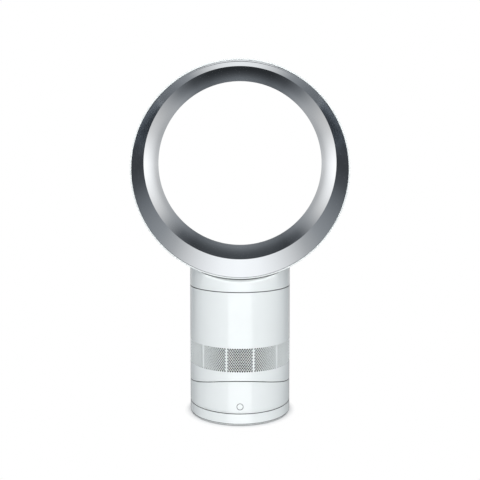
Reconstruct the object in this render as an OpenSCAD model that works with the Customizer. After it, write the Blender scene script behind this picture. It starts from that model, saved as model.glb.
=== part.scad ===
// Bladeless desk fan, in millimetres. The origin is on the floor under the middle of the foot,
// +Z is up and the air leaves the ring towards -Y.

/* [Body] */
// Outside diameter of the foot, the body and the neck
body_d = 145; // [140:1:152]
// Wall of the white shells
shell_wall = 2.4; // [2:0.1:3]
// Width of the seams between the shells
seam = 0.6; // [0.4:0.1:0.9]
// Height of the lower body, from the foot seam to the lowest point of the tilting seam
lower_h = 31; // [30:0.5:34.5]
// Height of the plain casing, from the inlet band to the neck seam
upper_h = 77; // [75.5:0.5:81]

/* [Foot] */
// Radius of the foot's lower edge
foot_edge_r = 3; // [1:0.5:5]
// How far the foot's floor stands off the table
foot_clear = 1; // [0.6:0.1:1.5]
// Height of the rubber ring
foot_ring_h = 2.4; // [1.8:0.1:2.8]
// Width of the rubber ring
foot_ring_w = 8; // [5:0.5:12]
// Distance of the rubber ring from the foot's rounded edge
foot_ring_inset = 5; // [3:0.5:7]
// Bore of the cord gland
gland_bore_d = 6.6; // [5:0.1:7.5]
// Outside diameter of the cord gland's barrel
gland_d = 9.9; // [9:0.1:11]
// Width of the cord gland's flange
gland_flange_w = 1.4; // [1:0.1:1.8]
// Height of the cord gland's axis
gland_z = 10; // [9:0.1:10.5]
// Height of the foot's rim above the cord gland's flange
foot_rim = 1.15; // [0.95:0.05:3]

/* [Swivel] */
// Outside diameter of the pivot post
post_d = 28; // [24:1:32]
// Bore of the pivot post
post_bore_d = 18; // [12:1:20]
// Gear module of the swivel's gears
gear_module = 1; // [0.9:0.05:1.05]
// Teeth of the fixed gear
gear_teeth = 60; // [60]
// Teeth of the pinion
pinion_teeth = 15; // [15]
// Face width of the fixed gear
gear_w = 5; // [4:0.5:5.5]
// Running clearance of shafts in their bores
running_fit = 0.05; // [0.02:0.01:0.1]
// Diameter of the swivel motor
swivel_motor_d = 28; // [24:1:30]
// Height of the swivel motor
swivel_motor_h = 18; // [15:0.5:19]
// Distance of the swivel's rail from the outside of the body
rail_inset = 11; // [10.5:0.5:13]

/* [Tilt] */
// Radius of the tilting arc
tilt_r = 188.5; // [185:0.5:195]
// Width of the tilting seam
tilt_gap = 1; // [0.8:0.1:1.3]
// Thickness of the tilting plates
plate_t = 2.4; // [2:0.1:3]
// How far each way the body tilts, in degrees
tilt_range = 10; // [5:1:11]
// Distance of the runners from the inside of the shell
runner_inset = 36; // [33:1:40]
// Width of a runner's neck
runner_w = 5.6; // [4:0.2:7]
// Rim of the cradle beyond a runner's slot, in degrees of the arc
slot_rim = 2.3; // [2:0.1:4]
// Distance of the glides from the inside of the shell
glide_inset = 18; // [16:1:20]

/* [Button] */
// Height of the button's axis above the foot seam
button_rise = 9.8; // [9.5:0.1:12]
// Diameter of the button
button_d = 8.8; // [7:0.1:9]
// Gap round the button
button_gap = 0.3; // [0.2:0.05:0.5]
// Travel of the button
button_travel = 0.8; // [0.5:0.1:0.9]

/* [Inlet] */
// Height of the inlet band's lower edge above the lowest point of the tilting seam
inlet_rise = 26.5; // [25.5:0.5:29.5]
// Height of the inlet band
inlet_h = 33.7; // [30:0.1:35]
// Blocks of holes round the body
inlet_blocks = 12; // [12]
// Angle that the holes of a block cover, in degrees
inlet_block_angle = 28.3; // [27:0.1:29]
// Rows of holes in a block
inlet_rows = 5; // [3:2:5]
// Holes in the longer rows
inlet_holes = 4; // [3:1:4]
// Diameter of an inlet hole
inlet_hole_d = 5.2; // [3:0.1:5.6]

/* [Fan] */
// Thickness of the foam ring round the housing
silencer_t = 9.3; // [8:0.1:10]
// How much narrower the housing's mouth is than its duct, in radius
mouth_step = 19; // [18:0.5:21]
// Blades of the impeller
blades = 9; // [7:1:11]
// Vanes of the diffuser
vanes = 11; // [9:1:13]
// Outside radius of the motor bucket
bucket_r = 33.2; // [32:0.2:34]
// Diameter of the motor shaft
shaft_d = 4; // [3:0.5:5]
// Outside diameter of the motor bearings
bearing_d = 13; // [11:0.5:14]

/* [Ring] */
// Outside diameter of the ring's casing
ring_d = 301.5; // [300:0.5:306]
// Height of the ring's lowest point above the neck seam
neck_h = 15.55; // [14:0.05:20]
// How far the outer casing sits below the middle of the opening
ring_offset = 8.5; // [6:0.5:9]
// Wall of the ring's casing and of its silver wall
ring_wall = 1.8; // [1.5:0.1:2]
// Depth of the ring from front to back
ring_depth = 110; // [106:1:116]
// Width of the ring at its sides, from the casing to the throat of the opening
band_w = 28.45; // [28:0.05:29]
// Width from the throat out to the crease behind the tapered front face
crease_w = 11.4; // [10.5:0.1:12.5]
// Depth of the tapered front face
taper_depth = 15; // [12:0.5:17]
// Width of the air slot
slot_w = 1.2; // [0.9:0.1:1.5]
// Radius of the casing's rear edge
rear_edge_r = 10; // [8:0.5:10.5]
// Width of the front seal's groove
seal_gap = 1; // [0.7:0.1:1.3]
// Spacers along the air slot
spacers = 10; // [6:1:14]

/* [Twist lock] */
// Distance of the nozzle's spigot from the inside of the shell
spigot_inset = 5; // [4.5:0.5:7]
// Angle that a lug covers, in degrees
lug_angle = 14; // [10:1:16]
// Angle that the nozzle turns to come free, in degrees
twist_angle = 20; // [18:1:24]

/* [Hidden] */
$fn = 96;
large_fn = 192;
middle_fn = 48;
small_fn = 24;
cut = 1;
hair = 0.1;
near = 0.3;
cone_seam = 30;
body_r = body_d / 2;
bore_r = body_r - shell_wall;
fit_r = bore_r - hair;

// Screws
screw_r = 1.45;
screw_head_r = 2.8;
screw_head_h = 1.6;
small_screw_r = 1;
small_head_r = 2.1;
small_head_h = 1.3;
small_hole_r = 1.2;

// Heights of the seams and the inlet band
foot_seam_z = gland_z + gland_d / 2 + gland_flange_w + foot_rim;
tilt_seam_z = foot_seam_z + lower_h;
inlet_z = tilt_seam_z + inlet_rise;
neck_seam_z = inlet_z + inlet_h + upper_h;

// Foot
floor_top = foot_clear + shell_wall;
foot_ring_r = body_r - foot_edge_r - foot_ring_inset;
gland_depth = 6;
gland_sink = 0.4;
gland_web = 0.8;
gland_side = 0.15;
gland_inner_y = bore_r - gland_depth;
gland_flange_r = gland_d / 2 + gland_flange_w;
gear_pitch_r = gear_module * gear_teeth / 2;
pinion_pitch_r = gear_module * pinion_teeth / 2;
pinion_y = gear_pitch_r + pinion_pitch_r;
gear_pressure = 25;
gear_backlash = 0.08;
flange_t = 4;
flange_r = gear_pitch_r - 3 * gear_module;
flange_top = floor_top + flange_t;
gear_top = flange_top + gear_w;
pinion_lift = 0.5;
pinion_shaft_r = 2.45;
pinion_hole_side = 0.75;
pinion_hole_r = pinion_shaft_r + pinion_hole_side;
pinion_shaft_h = 8.4;
pad_t = 1.6;
rail_w = 4;
rail_r = body_r - rail_inset;
rail_outer = rail_r + rail_w / 2;
rail_inner = rail_r - rail_w / 2;
rib_side = 0.5;
rib_drop = 3.5;
deck_rise = 2.5;
deck_z = foot_seam_z + deck_rise;
deck_t = 2.6;
deck_top = deck_z + deck_t;
rail_top = deck_z - rib_drop - near - pad_t;
base_screw_inset = 4;
base_screw_r = flange_r - base_screw_inset;
base_screw_cover = 1;
base_screw_len = shell_wall - screw_head_h + flange_t - base_screw_cover;
hub_wall = 4;
hub_drop = 2.4;
hub_h = 8.4;
hub_r = post_d / 2 + hub_wall;
hub_top = deck_top + hub_h;
clip_t = 1.4;
clip_slot = 3;
clip_side = 1;
groove_depth = 1.2;
groove_r = post_d / 2 - groove_depth;
post_head = 2;
post_top = hub_top + clip_t + post_head;

// Lower body
tilt_axis_z = tilt_seam_z + tilt_r;
shoe_r = tilt_r - tilt_gap / 2;
cradle_r = tilt_r + tilt_gap / 2;
cradle_under_r = cradle_r + plate_t;
arc_spare = 15;
arc_top = tilt_axis_z - sqrt(shoe_r * shoe_r - body_r * body_r) + arc_spare;
arc_over = 2;
slot_side = 0.4;
slot_end = 1;
runner_x = fit_r - runner_inset;
slot_edge_x = runner_x + runner_w / 2 + slot_side;
slot_half = asin(sqrt(fit_r * fit_r - slot_edge_x * slot_edge_x) / cradle_r) - slot_rim;
runner_half = slot_half - tilt_range - slot_end;
runner_root = 1;
runner_foot_t = 1.8;
runner_foot_side = 3;
runner_foot_w = runner_w + 2 * runner_foot_side;
glide_x = fit_r - glide_inset;
glide_w = 6;
glide_end = 2.25;
glide_half = asin(sqrt(fit_r * fit_r - pow(glide_x + glide_w / 2, 2)) / cradle_r) - glide_end;
cradle_low = 4;
cradle_post_r = 4;
cradle_post_side = 0.2;
cradle_post_x = runner_x + runner_foot_w / 2 + cradle_post_r + cradle_post_side;
cradle_post_y = 24;
cradle_post_over = 8;
cradle_screw_len = 10;
cradle_pilot = 12;
window_w = 16;
window_d = 56;
window_h = 20;
window_drop = 8;
board_rise = 5.4;
board_z = deck_top + board_rise;
board_t = 1.6;
board_inset = 9;
board_side = 3;
board_x = board_inset - fit_r;
board_w = -board_x - hub_r - board_side;
board_d = 36;
board_post_r = 2.6;
board_post_inset = 4;
board_screw_len = 5;
chip_x = 9;
chip_w = 12;
chip_h = 8;
can_inset = 14;
can_y = 7;
can_r = 4;
can_h = 9;
plug_x = 13;
plug_y = 11;
plug_w = 8;
plug_d = 5;
plug_h = 3;
motor_ear = 3.5;
motor_ear_t = 1;
motor_bore_h = 9;
button_r = button_d / 2;
button_z = foot_seam_z + button_rise;
button_flange_w = 1.4;
button_flange_r = button_r + button_flange_w;
button_flange_y = sqrt(bore_r * bore_r - button_flange_r * button_flange_r) - near;
button_flange_t = 1.2;
stem_len = 1.1;
stem_r = 1.5;
notch_side = 3;
switch_tip_y = button_flange_y - button_flange_t - stem_len - button_travel - hair;
switch_tip_len = 1.4;
switch_tip_r = 1.6;
switch_d = 3.6;
switch_w = 6;
switch_y = switch_tip_y - switch_tip_len - switch_d;
small_board_t = 1.2;
small_board_w = 28;
small_board_h = 20;
receiver_d = 4.6;
receiver_h = 7;
receiver_rise = 7.5;

// Main body
casing_top = neck_seam_z - seam / 2;
casing_low = 5;
casing_boss_r = 4;
casing_boss_bite = 0.2;
casing_screw_r = bore_r - casing_boss_r + casing_boss_bite;
casing_boss_rise = 7.66;
casing_boss_z = tilt_axis_z - sqrt(shoe_r * shoe_r - casing_screw_r * casing_screw_r / 2) + casing_boss_rise;
casing_pilot = 8;
boss_drop = 1;
shoe_boss_side = 0.8;
shoe_top = casing_boss_z - near;
web_t = 2.4;
cable_hole_r = 6;
foam_side = 1.2;
foam_drop = 7;
hole_over = 2;
ledge_rise = 2;
ledge_z = inlet_z + inlet_h + ledge_rise;
ledge_t = 2.4;
ledge_w = 7;
seal_t = 3;
seal_side = 0.4;
housing_flange_z = ledge_z + ledge_t + seal_t;
housing_flange_t = 2.2;
housing_flange_side = 0.5;
housing_flange_bite = 1.4;
housing_wall = 2;
foam_fit = 0.3;
foam_gap = 2.4;
duct_r = fit_r - foam_fit - silencer_t - foam_gap - housing_wall;
mouth_r = duct_r - mouth_step;
mouth_rise = 3;
mouth_z = inlet_z + mouth_rise;
bell_h = 6;
bell_w = 7;
bell_shift = 0.4;
bell_steps = 6;
throat_z = mouth_z + bell_h;
collar_drop = 0.7;
collar_h = 22;
collar_wall = 2.4;
collar_gap = 3;
collar_floor_t = 2;
collar_floor_side = 1;
collar_top = neck_seam_z - collar_drop;
collar_z = collar_top - collar_h;
duct_top = collar_z - collar_gap;
cone_top = (throat_z + duct_top) / 2;
cone_slope = (duct_r - mouth_r) / (cone_top - throat_z);
cone_bend = 0.6;
impeller_drop = 4.5;
impeller_rise = 1;
impeller_top = cone_top - impeller_drop;
impeller_low = throat_z + impeller_rise;
hub_nose_r = 8;
hub_exit_w = 16;
hub_big_r = duct_r - hub_exit_w;
hub_skin = 3;
hub_nose_h = 5;
hub_sink = 6;
shroud_gap = 0.8;
shroud_t = 1.2;
blade_t = 1.4;
blade_inset = 22;
blade_arc_r = duct_r - blade_inset;
blade_root = 3;
blade_low = 2;
blade_bite = 0.5;
blade_lap = 1.5;
bucket_gap = 3.5;
bucket_low_h = 23;
bucket_high_h = 30;
bucket_skirt_h = 14;
bucket_joint = 0.2;
bucket_wall = 2;
bucket_z = impeller_top + bucket_gap;
bucket_split = bucket_z + bucket_low_h;
bucket_top = bucket_split + bucket_high_h;
bucket_bore_r = bucket_r - bucket_wall;
dome_steps = 10;
shaft_r = shaft_d / 2;
shaft_rise = 3;
bearing_r = bearing_d / 2;
bearing_t = 4;
bearing_seat = 2.5;
seat_over = 0.4;
stator_rise = 6.5;
stator_z = bucket_z + stator_rise;
stator_h = 13;
stator_teeth = 6;
yoke_t = 4.5;
yoke_r = bucket_bore_r - yoke_t;
tooth_w = 4;
tooth_gap = 0.8;
rotor_r = 11;
coil_w = 8;
coil_over = 1.5;
coil_inner_gap = 3;
coil_outer_gap = 3.7;
motor_board_rise = 6;
motor_board_z = bucket_split + motor_board_rise;
motor_board_side = 7.2;
motor_board_r = bucket_bore_r - motor_board_side;
motor_board_hole_r = 5;
motor_post_inset = 5;
motor_post_r = 2;
driver_w = 10;
driver_d = 7;
driver_h = 3;
driver_side = 9;
logic_w = 9;
logic_h = 1.6;
diffuser_drop = 2;
diffuser_rise = 13;
diffuser_low = bucket_z + diffuser_rise;
diffuser_top = duct_top - diffuser_drop;
diffuser_ring_t = 1.6;
diffuser_lap = 0.5;
vane_t = 1.4;
vane_lean = 38;
vane_len = 60;
spigot_r = fit_r - spigot_inset;
spigot_t = 3;
spigot_side = 0.4;
lock_drop = 6.5;
lock_t = 3;
lock_z = collar_top - lock_drop;
lock_gap = 0.3;
lug_h = 3.2;
lug_side = 0.4;
lug_w = spigot_inset - collar_wall - lug_side;
lug_bite = 1;
lugs = 3;
lug_room = 4;
stop_angle = 1.6;
stop_gap = 2;
stop_side = 0.5;

// Ring
ring_r = ring_d / 2;
casing_z = neck_seam_z + neck_h + ring_r;
ring_z = casing_z + ring_offset;
ring_front = -ring_depth / 2;
rim_step = 1;
rim_edge = 0.6;
rim_front = ring_front + rim_step;
back_step = 2;
ring_back = ring_depth / 2 - back_step;
face_r = ring_r - ring_wall - seal_gap;
face_land = 0.8;
face_skin = 2.4;
skirt_len = 10;
throat_r = ring_r - band_w;
crease_r = throat_r + crease_w;
crease_y = ring_front + taper_depth;
taper_rate = (face_r - face_land - crease_r) / taper_depth;
taper_lift = ring_offset / taper_depth;
lip_len = 17;
lip_front = ring_back - lip_len;
lip_edge_r = 8;
lip_bend_y = ring_back - lip_edge_r;
lip_turn = 170;
edge_steps = 12;
slot_r = throat_r + ring_wall + slot_w;
slot_flare = 1;
wall_lap = 1;
wall_end_y = lip_bend_y + wall_lap;
fan_out = 5;
fan_out_y = lip_front - fan_out;
guide_len = 27;
guide_drop = 2.6;
guide_y = fan_out_y - guide_len;
guide_rate = guide_drop / (guide_y - crease_y);
guide_over = 3;
seal_sink = 0.8;
spacer_angle = 1.4;
spacer_inset = 3;
spacer_len = 5;
neck_bottom = neck_seam_z + seam / 2;
neck_step = 1;
neck_over = 3;
saddle_inset = 6;
saddle_half = ring_depth / 2 - saddle_inset;
neck_top = casing_z - sqrt(pow(ring_r - ring_wall, 2) - body_r * body_r) + neck_over;
passage_rise = 4;
passage_inset = 2;
bond_rise = 1.2;
bond_t = 3;
bond_z = neck_bottom + bond_rise;
neck_seal_side = 0.6;

// A tube or, with no inner radius, a disc between two heights
module tube(outer, inner, low, high) {
  difference() {
    translate([0, 0, low]) cylinder(h = high - low, r = outer);
    if (inner > 0) translate([0, 0, low - cut]) cylinder(h = high - low + 2 * cut, r = inner);
  }
}

// A small upright bar between two heights
module pin(r, low, high) {
  translate([0, 0, low]) cylinder(h = high - low, r = r, $fn = small_fn);
}

// A bar along X at a height
module x_bar(r, z) {
  translate([-body_d, 0, z]) rotate([0, 90, 0]) cylinder(h = 2 * body_d, r = r, $fn = large_fn);
}

// A large bar along Y between two depths, at a height
module y_bar(r, z, front, back) {
  translate([0, front, z]) rotate([-90, 0, 0]) cylinder(h = back - front, r = r, $fn = large_fn);
}

// A small bar along Y between two depths, at a height
module y_span(r, z, front, back) {
  translate([0, front, z]) rotate([-90, 0, 0]) cylinder(h = back - front, r = r, $fn = middle_fn);
}

// A stretch of the tilting arc between two radii and two widths
module arc_strip(inner, outer, left, right, half) {
  translate([0, 0, tilt_axis_z]) rotate([0, 90, 0]) rotate([0, 0, -half])
    rotate_extrude(angle = 2 * half, $fn = large_fn) translate([inner, left]) square([outer - inner, right - left]);
}

// Points of an arc, as radius and depth, for the profiles of the ring
function arc_points(r, y, size, from, to, steps) =
  [for (i = [0:steps]) let (a = from + (to - from) * i / steps) [r + size * cos(a), y + size * sin(a)]];

// A profile of radius and depth turned about the ring's axis at a height
module turned(points, z) {
  translate([0, 0, z]) rotate([-90, 0, 0]) rotate_extrude($fn = large_fn) polygon(points);
}

// A cone whose axis climbs from one height to another along Y
module leaning_cone(front, front_r, front_z, back, back_r, back_z) {
  climb = (back_z - front_z) / (back - front);
  translate([0, front, front_z]) multmatrix([[1, 0, 0, 0], [0, 1, 0, 0], [0, climb, 1, 0], [0, 0, 0, 1]])
    rotate([-90, cone_seam, 0]) cylinder(h = back - front, r1 = front_r, r2 = back_r, $fn = large_fn);
}

// A screw standing on its head at the origin
module screw(length) {
  pin(screw_head_r - near, 0, screw_head_h);
  pin(screw_r, screw_head_h - hair, screw_head_h + length);
}

module corners(x, y) {
  for (i = [-1, 1], j = [-1, 1]) translate([i * x, j * y, 0]) children();
}

module round_places(count, r, start) {
  for (i = [0:count - 1]) rotate([0, 0, start + i * 360 / count]) translate([r, 0, 0]) children();
}

module base_screw_places() {
  round_places(4, base_screw_r, 45) children();
}

module casing_screw_places() {
  round_places(4, casing_screw_r, 45) children();
}

module board_screw_places() {
  translate([board_x + board_w / 2, 0, 0])
    corners(board_w / 2 - board_post_inset, board_d / 2 - board_post_inset) children();
}

module motor_screw_places() {
  for (i = [-1, 1]) translate([i * (swivel_motor_d / 2 + motor_ear), pinion_y, 0]) children();
}

// Involute gear teeth
function involute(a) = tan(a) * 180 / PI - a;
function tooth_half(teeth, r) = let (
    pitch = gear_module * teeth / 2,
    base = pitch * cos(gear_pressure),
    a = r > base ? acos(base / r) : 0)
  90 / teeth - gear_backlash / pitch * 180 / PI + involute(gear_pressure) - involute(a);
function tooth_points(teeth, middle) = let (
    pitch = gear_module * teeth / 2,
    radii = [for (f = [-1.25, -0.6, 0, 0.5, 1]) pitch + f * gear_module])
  concat([for (r = radii) r * [cos(middle - tooth_half(teeth, r)), sin(middle - tooth_half(teeth, r))]],
    [for (i = [len(radii) - 1:-1:0]) let (r = radii[i], a = middle + tooth_half(teeth, r)) r * [cos(a), sin(a)]]);

module gear(teeth, width, start) {
  linear_extrude(height = width)
    polygon([for (i = [0:teeth - 1], p = tooth_points(teeth, start + i * 360 / teeth)) p]);
}

// Foot
module foot_profile() {
  translate([0, foot_clear]) square([body_r - foot_edge_r, foot_edge_r]);
  translate([0, foot_clear + foot_edge_r])
    square([body_r, foot_seam_z - seam / 2 - foot_clear - foot_edge_r]);
  intersection() {
    translate([body_r - foot_edge_r, foot_clear + foot_edge_r]) circle(foot_edge_r);
    translate([body_r - foot_edge_r, foot_clear]) square(foot_edge_r);
  }
}

module base_shell() {
  color("white") difference() {
    union() {
      difference() {
        rotate_extrude() foot_profile();
        translate([0, 0, floor_top]) cylinder(h = foot_seam_z, r = bore_r);
      }
      tube(rail_outer, rail_inner, floor_top - hair, rail_top);
    }
    tube(foot_ring_r + hair, foot_ring_r - foot_ring_w - hair, -cut, foot_ring_h + hair);
    y_span((gland_d + hair) / 2, gland_z, gland_inner_y - hair, body_r + cut);
    y_span(gland_flange_r + gland_side, gland_z, bore_r + gland_web, body_r + cut);
    base_screw_places() {
      pin(screw_head_r, foot_clear - cut, foot_clear + screw_head_h + hair);
      pin(screw_r + hair, foot_clear, foot_clear + flange_t);
    }
  }
}

module foot_ring() {
  color("dimgray") tube(foot_ring_r, foot_ring_r - foot_ring_w, 0, foot_ring_h);
}

module base_screws() {
  color("silver") base_screw_places() translate([0, 0, foot_clear]) screw(base_screw_len);
}

module cord_gland() {
  color("dimgray") difference() {
    union() {
      y_span(gland_d / 2, gland_z, gland_inner_y, body_r - gland_sink);
      y_span(gland_flange_r, gland_z, bore_r + gland_web + hair, body_r - gland_sink);
    }
    y_span(gland_bore_d / 2, gland_z, gland_inner_y - cut, body_r + cut);
  }
}

module pivot_post() {
  color("gainsboro") difference() {
    union() {
      tube(flange_r, 0, floor_top, flange_top);
      tube(post_d / 2, 0, floor_top, post_top);
    }
    translate([0, 0, floor_top - cut]) cylinder(h = post_top, d = post_bore_d);
    tube(post_d, groove_r, hub_top + near, hub_top + near + clip_t + hair);
    base_screw_places() pin(screw_r, floor_top - cut, floor_top + flange_t - base_screw_cover + 2 * hair);
  }
}

module post_clip() {
  color("silver") difference() {
    tube(hub_r - clip_side, groove_r + hair, hub_top + near, hub_top + near + clip_t);
    translate([0, -clip_slot / 2, hub_top]) cube([hub_r + cut, clip_slot, clip_t + cut]);
  }
}

module fixed_gear() {
  color("ivory") difference() {
    translate([0, 0, flange_top]) gear(gear_teeth, gear_w, 90);
    translate([0, 0, flange_top - cut]) cylinder(h = gear_w + 2 * cut, r = post_d / 2);
  }
}

module swivel_pad() {
  color("gold") tube(rail_outer, rail_inner, rail_top, rail_top + pad_t);
}

// Lower body
module lower_shell() {
  color("white") difference() {
    tube(body_r, bore_r, foot_seam_z + seam / 2, arc_top);
    x_bar(cradle_r, tilt_axis_z);
    y_span(button_r + button_gap, button_z, -body_r - cut, -button_flange_y);
  }
}

module lower_deck() {
  color("lightgray") difference() {
    union() {
      tube(fit_r, 0, deck_z, deck_top);
      tube(rail_outer + rib_side, rail_inner - rib_side, deck_z - rib_drop, deck_z + hair);
      tube(hub_r, 0, deck_z - hub_drop, hub_top);
      board_screw_places() pin(board_post_r, deck_top - hair, board_z);
    }
    translate([0, 0, -cut]) cylinder(h = hub_top + 2 * cut, r = post_d / 2 + running_fit);
    translate([0, pinion_y, deck_z - cut]) cylinder(h = deck_t + 2 * cut, r = pinion_hole_r, $fn = middle_fn);
    corners(cradle_post_x, cradle_post_y) pin(screw_r + hair, deck_z - cut, deck_top + cut);
    board_screw_places() pin(small_screw_r, deck_top + near, board_z + cut);
    motor_screw_places() pin(small_hole_r, deck_z - cut, deck_top + cut);
    translate([-button_r - notch_side, -body_r, deck_z - rib_drop - cut])
      cube([2 * (button_r + notch_side), body_r - switch_tip_y - hair, body_r]);
  }
}

module control_board() {
  color("darkgreen") difference() {
    translate([board_x, -board_d / 2, board_z]) cube([board_w, board_d, board_t]);
    board_screw_places() pin(small_hole_r, board_z - cut, board_z + board_t + cut);
  }
  color("black") translate([board_x, 0, board_z + board_t]) {
    translate([chip_x, -chip_w / 2, 0]) cube([chip_w, chip_w, chip_h]);
    for (i = [-1, 1]) translate([board_w - can_inset, i * can_y, 0])
      cylinder(h = can_h, r = can_r, $fn = middle_fn);
    translate([plug_x, plug_y, 0]) cube([plug_w, plug_d, plug_h]);
  }
}

module board_screws() {
  color("silver") board_screw_places() {
    pin(small_head_r, board_z + board_t, board_z + board_t + small_head_h);
    pin(small_screw_r, board_z + board_t - board_screw_len, board_z + board_t + hair);
  }
}

module button_board() {
  color("darkgreen") translate([-small_board_w / 2, -switch_y, deck_top])
    cube([small_board_w, small_board_t, small_board_h]);
}

module tact_switch() {
  color("black") translate([-switch_w / 2, -switch_y - switch_d, button_z - switch_w / 2])
    cube([switch_w, switch_d, switch_w]);
  color("dimgray") y_span(switch_tip_r, button_z, -switch_tip_y, -switch_y - switch_d + hair);
}

module remote_receiver() {
  color("black") translate([-switch_w / 2, -switch_y - receiver_d, button_z + receiver_rise])
    cube([switch_w, receiver_d, receiver_h]);
}

module swivel_motor() {
  color("silver") difference() {
    union() {
      translate([0, pinion_y, deck_top]) cylinder(h = swivel_motor_h, d = swivel_motor_d);
      translate([-swivel_motor_d / 2 - 2 * motor_ear, pinion_y - motor_ear, deck_top])
        cube([swivel_motor_d + 4 * motor_ear, 2 * motor_ear, motor_ear_t]);
    }
    translate([0, pinion_y, deck_top - cut])
      cylinder(h = motor_bore_h + cut, r = pinion_shaft_r + running_fit, $fn = middle_fn);
    motor_screw_places() pin(small_hole_r, deck_top - cut, deck_top + motor_ear_t + cut);
  }
}

module motor_screws() {
  color("silver") motor_screw_places() {
    pin(small_head_r, deck_top + motor_ear_t, deck_top + motor_ear_t + small_head_h);
    pin(small_hole_r - hair, deck_top - deck_t, deck_top + motor_ear_t + hair);
  }
}

module swivel_pinion() {
  root = gear_top - pinion_lift - hair;
  color("ivory") translate([0, pinion_y, 0]) {
    translate([0, 0, flange_top + pinion_lift])
      gear(pinion_teeth, gear_w - 2 * pinion_lift, -90 + 180 / pinion_teeth);
    translate([0, 0, root]) cylinder(h = deck_top + pinion_shaft_h - root, r = pinion_shaft_r, $fn = middle_fn);
  }
}

module tilt_cradle() {
  color("lightgray") difference() {
    intersection() {
      union() {
        difference() {
          tube(fit_r, 0, deck_top + cradle_low, arc_top);
          difference() {
            tube(body_r + cut, 0, 0, arc_top + cut);
            x_bar(cradle_under_r, tilt_axis_z);
          }
        }
        corners(cradle_post_x, cradle_post_y) tube(cradle_post_r, 0, deck_top, tilt_seam_z + cradle_post_over);
      }
      tube(fit_r, 0, 0, arc_top);
    }
    x_bar(cradle_r, tilt_axis_z);
    for (i = [-1, 1]) arc_strip(cradle_r - arc_over, cradle_under_r + arc_over,
      i * runner_x - runner_w / 2 - slot_side, i * runner_x + runner_w / 2 + slot_side, slot_half);
    translate([-window_w / 2, -window_d / 2, tilt_seam_z - window_drop]) cube([window_w, window_d, window_h]);
    corners(cradle_post_x, cradle_post_y) pin(screw_r, deck_top - cut, deck_top + cradle_pilot);
  }
}

module tilt_glides() {
  color("gold") for (i = [-1, 1])
    arc_strip(shoe_r + near, cradle_r, i * glide_x - glide_w / 2, i * glide_x + glide_w / 2, glide_half);
}

module cradle_screws() {
  color("silver") corners(cradle_post_x, cradle_post_y) translate([0, 0, deck_z - screw_head_h])
    screw(deck_t + cradle_screw_len);
}

module power_button() {
  flange_back = -button_flange_y + button_flange_t;
  color("white") union() {
    intersection() {
      y_span(button_r, button_z, -body_r - cut, -button_flange_y + hair);
      tube(body_r - hair, 0, button_z - body_r, button_z + body_r);
    }
    y_span(button_flange_r, button_z, -button_flange_y, flange_back);
    y_span(stem_r, button_z, -button_flange_y, flange_back + stem_len);
  }
}

// Main body
module inlet_holes_band() {
  step = inlet_block_angle / inlet_holes;
  row_h = inlet_h / inlet_rows;
  for (b = [0:inlet_blocks - 1], row = [0:inlet_rows - 1], k = [0:inlet_holes - 1 - row % 2])
    rotate([0, 0, b * 360 / inlet_blocks + (k - (inlet_holes - 1 - row % 2) / 2) * step])
      translate([bore_r - hole_over, 0, inlet_z + (row + 0.5) * row_h])
        rotate([0, 90, 0]) cylinder(h = shell_wall + 2 * hole_over, d = inlet_hole_d, $fn = small_fn);
}

module main_casing() {
  color("white") difference() {
    union() {
      intersection() {
        tube(body_r, bore_r, tilt_seam_z - casing_low, casing_top);
        x_bar(shoe_r, tilt_axis_z);
      }
      tube(bore_r + hair, bore_r - ledge_w, ledge_z, ledge_z + ledge_t);
      casing_screw_places() difference() {
        tube(casing_boss_r, 0, casing_boss_z, inlet_z - boss_drop);
        pin(screw_r, casing_boss_z - cut, casing_boss_z + casing_pilot);
      }
    }
    inlet_holes_band();
  }
}

module tilt_shoe() {
  low = tilt_seam_z - casing_low;
  color("lightgray") difference() {
    union() {
      difference() {
        intersection() {
          union() {
            difference() {
              tube(fit_r, 0, low, arc_top);
              x_bar(shoe_r - plate_t, tilt_axis_z);
            }
            casing_screw_places() tube(casing_boss_r + shoe_boss_side, 0, tilt_seam_z, shoe_top);
          }
          tube(fit_r, 0, 0, shoe_top);
          x_bar(shoe_r, tilt_axis_z);
        }
        casing_screw_places() {
          translate([0, 0, low]) cylinder(h = shoe_top - web_t - low, r = screw_head_r + near);
          pin(screw_r + hair, low, shoe_top + cut);
        }
      }
      for (i = [-1, 1]) {
        arc_strip(shoe_r - runner_root, cradle_under_r + near + hair, i * runner_x - runner_w / 2,
          i * runner_x + runner_w / 2, runner_half);
        arc_strip(cradle_under_r + near, cradle_under_r + near + runner_foot_t,
          i * runner_x - runner_foot_w / 2, i * runner_x + runner_foot_w / 2, runner_half);
      }
    }
    tube(cable_hole_r, 0, low, arc_top);
  }
}

module shoe_screws() {
  color("silver") casing_screw_places() translate([0, 0, shoe_top - web_t - screw_head_h])
    screw(web_t + casing_pilot);
}

module lower_silencer() {
  color("dimgray") difference() {
    intersection() {
      tube(casing_screw_r - casing_boss_r - foam_side, 0, tilt_seam_z, inlet_z - foam_drop);
      x_bar(shoe_r - plate_t, tilt_axis_z);
    }
    tube(cable_hole_r, 0, tilt_seam_z, inlet_z);
  }
}

// Points of a quarter bell, from its lip up to its throat
function bell(r, z, wide, high) =
  [for (i = [0:bell_steps]) let (a = 90 * i / bell_steps) [r + wide * (1 - sin(a)), z - high * cos(a)]];

module impeller_housing() {
  back = bell(mouth_r + housing_wall, throat_z - bell_shift, bell_h - bell_shift, bell_h - bell_shift);
  color("gray") union() {
    rotate_extrude() polygon(concat(bell(mouth_r, throat_z, bell_w, bell_h),
      [[duct_r, cone_top], [duct_r, duct_top], [duct_r + housing_wall, duct_top],
        [duct_r + housing_wall, cone_top - cone_bend]],
      [for (i = [bell_steps:-1:0]) back[i]]));
    tube(fit_r - housing_flange_side, mouth_r + cone_slope * (housing_flange_z - throat_z) + housing_flange_bite,
      housing_flange_z, housing_flange_z + housing_flange_t);
  }
}

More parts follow.
